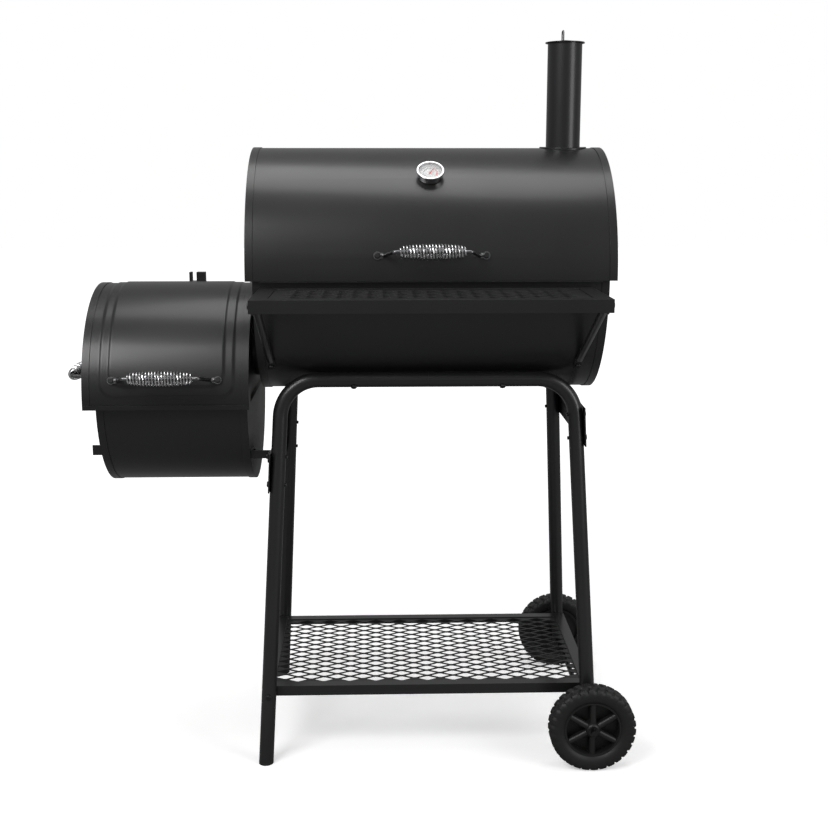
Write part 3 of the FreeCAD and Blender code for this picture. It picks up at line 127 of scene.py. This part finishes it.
class SmokerLidSettings(bpy.types.PropertyGroup):
    """Pressed panel of the firebox lid"""

    step: FloatProperty(name="Step", description="Height of each pressed step", unit="LENGTH",
                        min=0, default=0.0013)
    corner: FloatProperty(name="Corner", description="Radius of the panel's corners", unit="LENGTH",
                          min=0, default=0.024)
    blend: FloatProperty(name="Blend", description="Width over which a step rises", unit="LENGTH",
                         min=0.0001, default=0.004)


class SmokerStageSettings(bpy.types.PropertyGroup):
    """Camera, light and floor"""

    camera_place: FloatVectorProperty(name="Camera", description="Where the camera stands", subtype="XYZ",
                                      unit="LENGTH", size=3, default=(0.0554, -2.0909, 1.0168))
    camera_turn: FloatVectorProperty(name="Camera turn", description="Rotation of the camera",
                                     subtype="EULER", size=3,
                                     default=(math.radians(78.6), 0.0, math.radians(-1.66)))
    lens: FloatProperty(name="Lens", description="Focal length in millimetres", min=1, default=52.83)
    floor_color: FloatVectorProperty(name="Floor", description="Colour of floor and background",
                                     subtype="COLOR", size=3, min=0, max=1, default=(0.86, 0.86, 0.86))
    floor_glow: FloatProperty(name="Floor glow", min=0, default=0.5,
                              description="Own light of the floor near the smoker; it rises to hide the far edge")
    floor_bounce: FloatProperty(name="Floor bounce", description="Share of its colour that the floor throws back",
                                min=0, max=1, default=0.3)
    sky_strength: FloatProperty(name="Sky", description="Strength of the soft light all round",
                                min=0, default=0.36)


# ---------------------------------------------------------------- shader groups
def add(tree, kind, inputs=None, **settings):
    """A node with its settings; inputs are constants or sockets to link."""
    item = tree.nodes.new(kind)
    for key, value in settings.items():
        setattr(item, key, value)
    for key, value in (inputs or {}).items():
        if isinstance(value, bpy.types.NodeSocket):
            tree.links.new(value, item.inputs[key])
        else:
            item.inputs[key].default_value = value
    return item


def maths(tree, operation, first, second=0.0):
    """Result of one math node."""
    return add(tree, "ShaderNodeMath", {0: first, 1: second}, operation=operation).outputs[0]


def new_group(name, inputs, outputs):
    """An empty node group with its sockets; returns the tree, its input node and its output node."""
    old = bpy.data.node_groups.get(name)
    if old:
        bpy.data.node_groups.remove(old)
    tree = bpy.data.node_groups.new(name, "ShaderNodeTree")
    for label, kind, default in inputs:
        socket = tree.interface.new_socket(label, in_out="INPUT", socket_type=kind)
        socket.default_value = default
    for label, kind in outputs:
        tree.interface.new_socket(label, in_out="OUTPUT", socket_type=kind)
    return tree, tree.nodes.new("NodeGroupInput"), tree.nodes.new("NodeGroupOutput")


def grain_group():
    """Fine coating texture: a height, and a colour and roughness that drift slightly."""
    tree, source, sink = new_group(
        "Smoker Grain",
        [("Color", "NodeSocketColor", (0.03, 0.03, 0.03, 1)), ("Roughness", "NodeSocketFloat", 0.4),
         ("Cells", "NodeSocketFloat", 650.0), ("Drift", "NodeSocketFloat", 0.12)],
        [("Color", "NodeSocketColor"), ("Roughness", "NodeSocketFloat"), ("Height", "NodeSocketFloat")])
    place = add(tree, "ShaderNodeTexCoord").outputs["Object"]
    fine = add(tree, "ShaderNodeTexNoise", {"Vector": place, "Scale": source.outputs["Cells"],
                                            "Detail": 3.0, "Roughness": 0.6}).outputs["Fac"]
    broad = add(tree, "ShaderNodeTexNoise", {"Vector": place, "Scale": 7.0, "Detail": 4.0}).outputs["Fac"]
    dust = maths(tree, "MULTIPLY", maths(tree, "SUBTRACT", broad, 0.5), source.outputs["Drift"])
    tint = add(tree, "ShaderNodeHueSaturation", {
        "Color": source.outputs["Color"], "Value": maths(tree, "ADD", 1.0, maths(tree, "MULTIPLY", dust, 2.5))})
    speck = maths(tree, "MULTIPLY", maths(tree, "SUBTRACT", fine, 0.5), 0.12)
    rough = maths(tree, "ADD", maths(tree, "ADD", source.outputs["Roughness"], dust), speck)
    for label, value in (("Color", tint.outputs[0]), ("Roughness", rough), ("Height", fine)):
        tree.links.new(value, sink.inputs[label])
    return tree


def brush_group():
    """Drawn or plated metal: fine streaks along one axis."""
    tree, source, sink = new_group(
        "Smoker Brush",
        [("Color", "NodeSocketColor", (0.6, 0.6, 0.6, 1)), ("Roughness", "NodeSocketFloat", 0.2),
         ("Streaks", "NodeSocketFloat", 900.0)],
        [("Color", "NodeSocketColor"), ("Roughness", "NodeSocketFloat"), ("Height", "NodeSocketFloat")])
    place = add(tree, "ShaderNodeTexCoord").outputs["Object"]
    stretch = add(tree, "ShaderNodeMapping", {"Vector": place, "Scale": (0.12, 1.0, 1.0)}).outputs[0]
    streaks = add(tree, "ShaderNodeTexNoise", {"Vector": stretch, "Scale": source.outputs["Streaks"],
                                               "Detail": 2.0}).outputs["Fac"]
    offset = maths(tree, "SUBTRACT", streaks, 0.5)
    rough = maths(tree, "ADD", source.outputs["Roughness"], maths(tree, "MULTIPLY", offset, 0.18))
    shade = maths(tree, "ADD", 1.0, maths(tree, "MULTIPLY", offset, 0.22))
    tint = add(tree, "ShaderNodeHueSaturation", {"Color": source.outputs["Color"], "Value": shade})
    for label, value in (("Color", tint.outputs[0]), ("Roughness", rough), ("Height", streaks)):
        tree.links.new(value, sink.inputs[label])
    return tree


def band(tree, value, low, high):
    """1 where value lies between low and high."""
    return maths(tree, "MULTIPLY", maths(tree, "GREATER_THAN", value, low),
                 maths(tree, "LESS_THAN", value, high))


def dial_group(centre, across, upward):
    """Printed dial: ticks, figure marks and coloured arcs by radius and angle round the middle."""
    tree, source, sink = new_group("Smoker Dial", [], [("Color", "NodeSocketColor")])
    place = add(tree, "ShaderNodeTexCoord").outputs["Object"]
    local = add(tree, "ShaderNodeVectorMath", {0: place, 1: centre}, operation="SUBTRACT").outputs[0]
    x = add(tree, "ShaderNodeVectorMath", {0: local, 1: across}, operation="DOT_PRODUCT").outputs["Value"]
    y = add(tree, "ShaderNodeVectorMath", {0: local, 1: upward}, operation="DOT_PRODUCT").outputs["Value"]
    radius = maths(tree, "SQRT", maths(tree, "ADD", maths(tree, "MULTIPLY", x, x),
                                       maths(tree, "MULTIPLY", y, y)))
    turn = maths(tree, "ARCTAN2", x, y)
    color = (0.52, 0.52, 0.51, 1)

    def paint(mask, under, over):
        mix = add(tree, "ShaderNodeMix", {"Factor": mask}, data_type="RGBA")
        for slot, value in ((MIX_FIRST, under), (MIX_SECOND, over)):
            if isinstance(value, bpy.types.NodeSocket):
                tree.links.new(value, mix.inputs[slot])
            else:
                mix.inputs[slot].default_value = value
        return mix.outputs[MIX_RESULT]

    inside = maths(tree, "LESS_THAN", maths(tree, "ABSOLUTE", turn), math.radians(137))
    for spacing, width, low, high in ((9.0, 0.9, 15.2, 17.6), (45.0, 1.9, 13.6, 17.6)):
        phase = maths(tree, "ABSOLUTE", maths(tree, "SUBTRACT", maths(
            tree, "FRACT", maths(tree, "ADD", maths(tree, "DIVIDE", turn, math.radians(spacing)), 40.5)), 0.5))
        ticks = maths(tree, "LESS_THAN", phase, width / spacing)
        mask = maths(tree, "MULTIPLY", maths(tree, "MULTIPLY", ticks, band(tree, radius, low * MM, high * MM)),
                     inside)
        color = paint(mask, color, (0.05, 0.05, 0.05, 1))
    for start, end, tone in ((-135, -60, (0.30, 0.30, 0.32, 1)), (-60, 45, (0.16, 0.17, 0.18, 1)),
                             (45, 135, (0.55, 0.03, 0.02, 1))):
        arc = maths(tree, "MULTIPLY", band(tree, turn, math.radians(start), math.radians(end)),
                    band(tree, radius, 10.2 * MM, 12.0 * MM))
        color = paint(arc, color, tone)
    tree.links.new(color, sink.inputs["Color"])
    return tree


def new_material(name, metallic=0.0, coat=0.0, clear=None):
    """A material with only its Principled shader and output; clear sets a see-through sheet."""
    old = bpy.data.materials.get(name)
    if old:
        bpy.data.materials.remove(old)
    material = bpy.data.materials.new(name)
    material.use_nodes = True
    shader = material.node_tree.nodes["Principled BSDF"]
    shader.inputs["Metallic"].default_value = metallic
    shader.inputs["Coat Weight"].default_value = coat
    shader.inputs["Coat Roughness"].default_value = 0.2
    shader.inputs["Specular IOR Level"].default_value = 0.38
    if clear is not None:
        shader.inputs["Alpha"].default_value = clear
    return material, material.node_tree, shader


def coated(name, tree_group, color, roughness, cells, bump, edge=0.0, **kind):
    """A material driven by one of the shared groups."""
    material, tree, shader = new_material(name, **kind)
    source = add(tree, "ShaderNodeGroup", node_tree=tree_group)
    source.inputs["Color"].default_value = (*color, 1.0)
    source.inputs["Roughness"].default_value = roughness
    source.inputs[2].default_value = cells    # Cells or Streaks, by group
    tree.links.new(source.outputs["Color"], shader.inputs["Base Color"])
    tree.links.new(source.outputs["Roughness"], shader.inputs["Roughness"])
    relief = add(tree, "ShaderNodeBump", {"Height": source.outputs["Height"], "Strength": bump,
                                          "Distance": 0.0003})
    if edge:
        soft = add(tree, "ShaderNodeBevel", {"Radius": edge}, samples=4)
        tree.links.new(soft.outputs["Normal"], relief.inputs["Normal"])
    tree.links.new(relief.outputs["Normal"], shader.inputs["Normal"])
    return material


def gauge_frame():
    """Middle of the dial and its two directions: across and up the lid."""
    low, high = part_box("thermometer_dial")
    points = [v.co for v in frame["nodes"]["thermometer_dial"].data.vertices]
    middle = (low + high) / 2
    edge = max(points, key=lambda p: p.z)
    upward = Vector((0, edge.y - middle.y, edge.z - middle.z)).normalized()
    return middle, Vector((1, 0, 0)), upward


# ---------------------------------------------------------------- mesh helpers
def make_mesh(name, verts, faces, material, body, *nodes, slot):
    """A smooth piece that rides on a body and stands for CAD nodes."""
    mesh = bpy.data.meshes.new(name)
    mesh.from_pydata([tuple(v) for v in verts], [], faces)
    mesh.validate()
    mesh.update()
    mesh.shade_smooth()
    mesh.set_sharp_from_angle(angle=math.radians(38))
    piece = bpy.data.objects.new(name, mesh)
    bpy.context.scene.collection.objects.link(piece)
    mesh.materials.append(material)
    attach(piece, body)
    if nodes:
        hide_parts(*nodes)
    return piece


def ring_faces(columns, rows, closed_columns=True, closed_rows=False):
    """Quads of a grid stored row by row."""
    faces = []
    for row in range(rows if closed_rows else rows - 1):
        for column in range(columns if closed_columns else columns - 1):
            across = (column + 1) % columns
            below = (row + 1) % rows
            faces.append((row * columns + column, row * columns + across,
                          below * columns + across, below * columns + column))
    return faces


def tube(points, radius, sides=10):
    """Verts and faces of a closed-ended round tube along a list of points."""
    verts, normal = [], None
    for index, point in enumerate(points):
        ahead = points[min(index + 1, len(points) - 1)]
        behind = points[max(index - 1, 0)]
        along = (ahead - behind).normalized()
        if normal is None:
            normal = along.orthogonal().normalized()
        normal = (normal - along * normal.dot(along)).normalized()
        side = along.cross(normal)
        for turn in range(sides):
            angle = 2 * math.pi * turn / sides
            verts.append(point + (normal * math.cos(angle) + side * math.sin(angle)) * radius)
    faces = ring_faces(sides, len(points))
    faces.append(tuple(range(sides))[::-1])
    last = (len(points) - 1) * sides
    faces.append(tuple(range(last, last + sides)))
    return verts, faces


def joined(parts):
    """Several (verts, faces) pairs as one."""
    verts, faces = [], []
    for more, quads in parts:
        start = len(verts)
        verts += more
        faces += [tuple(i + start for i in face) for face in quads]
    return verts, faces


def turned(outline, steps):
    """A solid of revolution about Z from (radius, height) points."""
    verts = []
    for radius, height in outline:
        for step in range(steps):
            angle = 2 * math.pi * step / steps
            verts.append(Vector((radius * math.cos(angle), radius * math.sin(angle), height)))
    return verts, ring_faces(steps, len(outline), closed_rows=True)


# ---------------------------------------------------------------- operators
class SmokerOperator:
    bl_options = {"REGISTER", "UNDO"}


class SMOKER_OT_paint(SmokerOperator, bpy.types.Operator):
    """Give every carried sheet, tube, bolt and dial its finish"""
    bl_idname = "smoker.paint"
    bl_label = "Paint the smoker"

    def execute(self, context):
        tint = context.scene.smoker_paint
        grain, brush = grain_group(), brush_group()
        middle, across, upward = gauge_frame()
        dial = dial_group(middle, across, upward)
        cells, edge = tint.grain_size, tint.edge_radius
        body, rough = tint.body_color, tint.body_roughness
        made = {
            "barrel_paint": coated("barrel_paint", grain, body, rough, cells, 0.10, edge, coat=0.25),
            "firebox_paint": coated("firebox_paint", grain, body, rough + 0.02, cells, 0.12, edge, coat=0.2),
            "chimney_paint": coated("chimney_paint", grain, body, rough, cells, 0.10, edge, coat=0.25),
            "frame_paint": coated("frame_paint", grain, tint.frame_color, tint.frame_roughness, cells, 0.12,
                                  edge, coat=0.3),
            "mesh_paint": coated("mesh_paint", grain, tint.frame_color, tint.frame_roughness + 0.06, cells,
                                 0.12, edge / 2),
            "chrome": coated("chrome", brush, tint.chrome_color, 0.16, 700.0, 0.03, metallic=1.0),
            "handle_steel": coated("handle_steel", brush, (0.16, 0.16, 0.165), 0.28, 700.0, 0.05, metallic=1.0),
            "zinc_steel": coated("zinc_steel", brush, (0.05, 0.05, 0.052), 0.36, 900.0, 0.08, metallic=1.0),
            "grate_steel": coated("grate_steel", brush, (0.4, 0.4, 0.41), 0.3, 900.0, 0.06, metallic=1.0),
            "tyre": coated("tyre", grain, (0.010, 0.010, 0.010), 0.52, 900.0, 0.25),
            "hub": coated("hub", grain, (0.010, 0.010, 0.010), 0.40, 900.0, 0.15),
            "plug": coated("plug", grain, (0.016, 0.016, 0.016), 0.5, 900.0, 0.2),
            "glass": coated("glass", grain, (0.93, 0.94, 0.95), 0.04, 60.0, 0.0, clear=0.12),
            "needle": coated("needle", grain, (0.55, 0.02, 0.015), 0.4, 900.0, 0.02),
        }
        face, tree, shader = new_material("dial")
        shader.inputs["Roughness"].default_value = 0.5
        print_node = add(tree, "ShaderNodeGroup", node_tree=dial)
        tree.links.new(print_node.outputs["Color"], shader.inputs["Base Color"])
        made["dial"] = face
        for entry in frame["record"]["subparts"]:
            node = frame["nodes"][entry["node"]]
            node.data.materials.clear()
            node.data.materials.append(made[entry["material_slot"]])
        return {"FINISHED"}


class SMOKER_OT_springs(SmokerOperator, bpy.types.Operator):
    """Wind the barrel-shaped wire springs of the three handles"""
    bl_idname = "smoker.springs"
    bl_label = "Wind the grips"

    @staticmethod
    def wind(grip, centre, along, outward):
        """Wire of one grip, wide at the middle and narrow at the ends."""
        per_turn, points = 28, []
        side = along.cross(outward)
        total = grip.turns * per_turn
        for index in range(total + 1):
            part = index / total
            swell = math.sin(math.pi * part) ** 0.75
            radius = grip.end_radius + (grip.middle_radius - grip.end_radius) * swell
            nearest_end = min(index, total - index) / per_turn
            if nearest_end < 1:
                closed = 0.0046
                radius = closed + (radius - closed) * nearest_end
            angle = 2 * math.pi * index / per_turn
            points.append(centre + along * (grip.length * (part - 0.5))
                          + (outward * math.cos(angle) + side * math.sin(angle)) * radius)
        return tube(points, grip.wire, 8)

    def execute(self, context):
        grip = context.scene.smoker_grip
        chrome = bpy.data.materials["chrome"]
        low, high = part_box("lid_handle_coil")
        across, level = Vector((1, 0, 0)), Vector((0, 1, 0))
        make_mesh("lid_spring", *self.wind(grip, (low + high) / 2, across, level), chrome, "lid",
                  "lid_handle_coil", slot="chrome")
        lid_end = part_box("firebox_lid_end")[0].x
        points = [v.co for v in frame["nodes"]["firebox_handle_coils"].data.vertices]
        wires = []
        for chosen, along, outward in (([p for p in points if p.x > lid_end], across, level),
                                       ([p for p in points if p.x <= lid_end], level, across)):
            middle = Vector([(min(p[axis] for p in chosen) + max(p[axis] for p in chosen)) / 2
                             for axis in range(3)])
            wires.append(self.wind(grip, middle, along, outward))
        make_mesh("firebox_springs", *joined(wires), chrome, "firebox_lid", "firebox_handle_coils",
                  slot="chrome")
        return {"FINISHED"}


class SMOKER_OT_wheels(SmokerOperator, bpy.types.Operator):
    """Mould the two wheels: lugged tread, round spokes and domed boss"""
    bl_idname = "smoker.wheels"
    bl_label = "Mould the wheels"

    @staticmethod
    def tread(wheel, radius, rim, width):
        """Tyre with grooves cut across its tread."""
        steps, outline = wheel.lugs * 8, []
        for r, h in ((rim, 0.16), (rim + 0.003, 0.07), (rim + 0.008, 0.03), (radius - 0.010, 0.0),
                     (radius - 0.004, 0.03), (radius - 0.001, 0.10), (radius, 0.18)):
            outline.append((r, h * width))
        across = [(radius, part * width) for part in (0.26, 0.34, 0.42, 0.47)]
        half = outline + across
        whole = half + [(r, width - h) for r, h in reversed(half)]
        verts = []
        for r, h in whole:
            lean = abs(h / width - 0.5)
            for step in range(steps):
                turn = step / steps
                phase = (turn * wheel.lugs + lean * 1.1 + (0.5 if h > width / 2 else 0.0)) % 1.0
                depth = wheel.groove if phase < 0.3 and r > radius - 0.0095 else 0.0
                angle = 2 * math.pi * turn
                verts.append(Vector(((r - depth) * math.cos(angle), (r - depth) * math.sin(angle), h)))
        return verts, ring_faces(steps, len(whole), closed_rows=True)

    @staticmethod
    def hub(wheel, rim, width):
        """Rim, web, spokes and boss, with the outer face at height 0."""
        bore, boss, web = 0.00475, 0.013, width * 0.62
        outline = [(bore, 0.0003), (0.0075, 0.0004), (0.0105, 0.0022), (boss, 0.0062), (boss, web),
                   (rim - 0.004, web), (rim - 0.004, 0.0075), (rim - 0.003, 0.0055), (rim, 0.0055),
                   (rim, width - 0.005), (rim - 0.004, width - 0.005), (rim - 0.004, web + 0.003),
                   (boss, web + 0.003), (boss, width), (bore, width)]
        parts = [turned(outline, 96)]
        for index in range(wheel.spokes):
            angle = math.pi / 2 + 2 * math.pi * index / wheel.spokes
            ray = Vector((math.cos(angle), math.sin(angle), 0))
            start = ray * (boss - 0.002) + Vector((0, 0, 0.0105))
            end = ray * (rim - 0.002) + Vector((0, 0, 0.0125))
            parts.append(tube([start, (start + end) / 2, end], wheel.spoke_radius, 16))
            behind = Vector((0, 0, 0.006))
            parts.append(tube([start + behind, end + behind], wheel.spoke_radius * 0.8, 8))
        return joined(parts)

    def execute(self, context):
        wheel = context.scene.smoker_wheel
        for label, outer in (("front", -1), ("rear", 1)):
            low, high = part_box(f"{label}_tyre")
            rim = (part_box(f"{label}_hub")[1].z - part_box(f"{label}_hub")[0].z) / 2
            radius, width = (high.z - low.z) / 2, high.y - low.y
            middle = (low + high) / 2
            face = low.y if outer < 0 else high.y
            basis = Matrix.Rotation(math.radians(-90 if outer < 0 else 90), 4, "X")
            place = Matrix.Translation((middle.x, face, middle.z)) @ basis
            for piece, (verts, faces) in (("tyre", self.tread(wheel, radius, rim, width)),
                                          ("hub", self.hub(wheel, rim, width))):
                make_mesh(f"{label}_wheel_{piece}", [place @ v for v in verts], faces,
                          bpy.data.materials[piece], f"{label}_wheel", f"{label}_{piece}", slot=piece)
        return {"FINISHED"}


class SMOKER_OT_firebox_lid(SmokerOperator, bpy.types.Operator):
    """Press the two-step panel with round corners into the firebox lid's skin"""
    bl_idname = "smoker.firebox_lid"
    bl_label = "Press the firebox lid"

    @staticmethod
    def rise(distance, blend):
        """Smooth step from 0 outside a panel's edge to 1 inside it."""
        part = min(1.0, max(0.0, 0.5 - distance / blend))
        return part * part * (3 - 2 * part)

    def execute(self, context):
        press = context.scene.smoker_lid
        skin_low, skin_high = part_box("firebox_lid_shell")
        end_low, end_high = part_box("firebox_lid_end")
        axis_y, axis_z = (end_low.y + end_high.y) / 2, end_low.z
        radius = end_high.z - end_low.z - SHEET
        x_low, x_high = skin_low.x, skin_high.x
        panels = [(x_low + 28.5 * MM, x_high - 23.8 * MM, -55.0, 86.0),
                  (x_low + 43.5 * MM, x_high - 39.8 * MM, -46.0, 80.5)]
        columns, rows = 170, 300
        verts = []
        for thickness in (0.0, SHEET):
            for row in range(rows):
                angle = math.radians(-90 + 180 * row / (rows - 1))
                for column in range(columns):
                    x = x_low + (x_high - x_low) * column / (columns - 1)
                    height = 0.0
                    for left, right, start, end in panels:
                        half_x, half_s = (right - left) / 2, math.radians(end - start) * radius / 2
                        dx = abs(x - (left + right) / 2) - half_x + press.corner
                        ds = abs((angle - math.radians(start + end) / 2) * radius) - half_s + press.corner
                        outside = math.hypot(max(dx, 0), max(ds, 0)) + min(max(dx, ds), 0) - press.corner
                        height += press.step * self.rise(outside, press.blend)
                    reach = radius + height - thickness
                    verts.append(Vector((x, axis_y - reach * math.sin(angle),
                                         axis_z + reach * math.cos(angle))))
        outer = ring_faces(columns, rows, closed_columns=False)
        count = columns * rows
        inner = [tuple(i + count for i in face[::-1]) for face in outer]
        rim = []
        for first, step, length in ((0, 1, columns), (count - columns, 1, columns),
                                    (0, columns, rows), (columns - 1, columns, rows)):
            for index in range(length - 1):
                a, b = first + index * step, first + (index + 1) * step
                rim.append((a, b, b + count, a + count))
        make_mesh("firebox_lid_skin", verts, outer + inner + rim, bpy.data.materials["firebox_paint"],
                  "firebox_lid", "firebox_lid_shell", slot="firebox_paint")
        return {"FINISHED"}


class SMOKER_OT_stage(SmokerOperator, bpy.types.Operator):
    """Set the camera, the soft lights, the floor and the background"""
    bl_idname = "smoker.stage"
    bl_label = "Set the stage"

    @staticmethod
    def lamp(name, place, aim, width, height, watts):
        light = bpy.data.lights.new(name, "AREA")
        light.shape = "RECTANGLE"
        light.size, light.size_y, light.energy = width, height, watts
        item = bpy.data.objects.new(name, light)
        bpy.context.scene.collection.objects.link(item)
        item.location = place
        item.rotation_euler = (Vector(aim) - Vector(place)).to_track_quat("-Z", "Y").to_euler()

    def execute(self, context):
        scene, setup = context.scene, context.scene.smoker_stage
        camera = bpy.data.cameras.new("camera")
        camera.sensor_width, camera.lens = 36.0, setup.lens
        camera.dof.use_dof = False
        view = bpy.data.objects.new("camera", camera)
        scene.collection.objects.link(view)
        view.location, view.rotation_euler = setup.camera_place, setup.camera_turn
        scene.camera = view
        floor = bpy.data.meshes.new("floor")
        reach = 14.0
        floor.from_pydata([(-reach, -reach, 0), (reach, -reach, 0), (reach, reach, 0), (-reach, reach, 0)],
                          [], [(0, 1, 2, 3)])
        ground = bpy.data.objects.new("floor", floor)
        scene.collection.objects.link(ground)
        material, tree, shader = new_material("floor")
        grain = add(tree, "ShaderNodeGroup", node_tree=bpy.data.node_groups["Smoker Grain"])
        for key, value in zip(("Color", "Roughness", "Cells", "Drift"),
                              ((*setup.floor_color, 1.0), 0.9, 40.0, 0.01)):
            grain.inputs[key].default_value = value
        tree.links.new(grain.outputs["Roughness"], shader.inputs["Roughness"])
        shader.inputs["Specular IOR Level"].default_value = 0.1
        watched = add(tree, "ShaderNodeLightPath").outputs["Is Camera Ray"]
        pale = add(tree, "ShaderNodeMix", {"Factor": watched}, data_type="RGBA")
        pale.inputs[MIX_FIRST].default_value = (*(part * setup.floor_bounce for part in setup.floor_color), 1.0)
        tree.links.new(grain.outputs["Color"], pale.inputs[MIX_SECOND])
        tree.links.new(pale.outputs[MIX_RESULT], shader.inputs["Base Color"])
        place = add(tree, "ShaderNodeTexCoord").outputs["Object"]
        distance = add(tree, "ShaderNodeVectorMath", {0: place}, operation="LENGTH").outputs["Value"]
        fade = add(tree, "ShaderNodeMapRange", {"Value": distance, "From Min": 0.9, "From Max": 3.5,
                                                "To Min": setup.floor_glow, "To Max": 1.0}).outputs[0]
        glow = add(tree, "ShaderNodeMix", {"Factor": maths(tree, "MULTIPLY", watched, fade)},
                   data_type="RGBA")
        glow.inputs[MIX_FIRST].default_value = (0.0, 0.0, 0.0, 1.0)
        tree.links.new(grain.outputs["Color"], glow.inputs[MIX_SECOND])
        tree.links.new(glow.outputs[MIX_RESULT], shader.inputs["Emission Color"])
        shader.inputs["Emission Strength"].default_value = 1.0
        floor.materials.append(material)
        world = bpy.data.worlds.new("studio")
        scene.world = world
        world.use_nodes = True
        nodes = world.node_tree
        backdrop = nodes.nodes["Background"]
        seen = add(nodes, "ShaderNodeLightPath").outputs["Is Camera Ray"]
        strength = maths(nodes, "ADD", setup.sky_strength,
                         maths(nodes, "MULTIPLY", seen, 1.0 - setup.sky_strength))
        nodes.links.new(strength, backdrop.inputs["Strength"])
        backdrop.inputs["Color"].default_value = (1, 1, 1, 1)
        self.lamp("key", (-1.6, -2.2, 2.9), (0, 0, 0.8), 1.6, 1.6, 70)
        self.lamp("fill", (2.4, -1.8, 1.6), (0, 0, 0.7), 1.2, 2.0, 30)
        self.lamp("top", (0.1, 0.2, 3.4), (0, 0, 0.9), 2.2, 1.4, 36)
        scene.view_settings.view_transform = "Standard"
        return {"FINISHED"}


class SMOKER_PT_panel(bpy.types.Panel):
    """Sidebar panel with the smoker's pieces"""
    bl_idname = "SMOKER_PT_panel"
    bl_label = "Offset smoker"
    bl_space_type = "VIEW_3D"
    bl_region_type = "UI"
    bl_category = "Smoker"

    def draw(self, context):
        for name, operators in PANEL_ROWS:
            group = getattr(context.scene, name)
            box = self.layout.box()
            for prop in group.bl_rna.properties:
                if not prop.is_readonly and prop.identifier != "name":
                    box.prop(group, prop.identifier)
            for operator in operators:
                box.operator(operator)


SETTINGS = {
    "smoker_paint": SmokerPaintSettings,
    "smoker_grip": SmokerGripSettings,
    "smoker_wheel": SmokerWheelSettings,
    "smoker_lid": SmokerLidSettings,
    "smoker_stage": SmokerStageSettings,
}
OPERATORS = (SMOKER_OT_paint, SMOKER_OT_springs, SMOKER_OT_wheels, SMOKER_OT_firebox_lid, SMOKER_OT_stage)
PANEL_ROWS = tuple(zip(SETTINGS, ((operator.bl_idname,) for operator in OPERATORS)))


def register():
    for item in (*SETTINGS.values(), *OPERATORS, SMOKER_PT_panel):
        bpy.utils.register_class(item)
    for name, kind in SETTINGS.items():
        setattr(bpy.types.Scene, name, PointerProperty(type=kind))


def unregister():
    for name in SETTINGS:
        delattr(bpy.types.Scene, name)
    for item in reversed((*SETTINGS.values(), *OPERATORS, SMOKER_PT_panel)):
        bpy.utils.unregister_class(item)


def main():
    """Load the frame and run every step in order."""
    frame.update(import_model())
    register()
    bpy.ops.smoker.paint()
    bpy.ops.smoker.springs()
    bpy.ops.smoker.wheels()
    bpy.ops.smoker.firebox_lid()
    bpy.ops.smoker.stage()


if __name__ == "__main__":
    main()
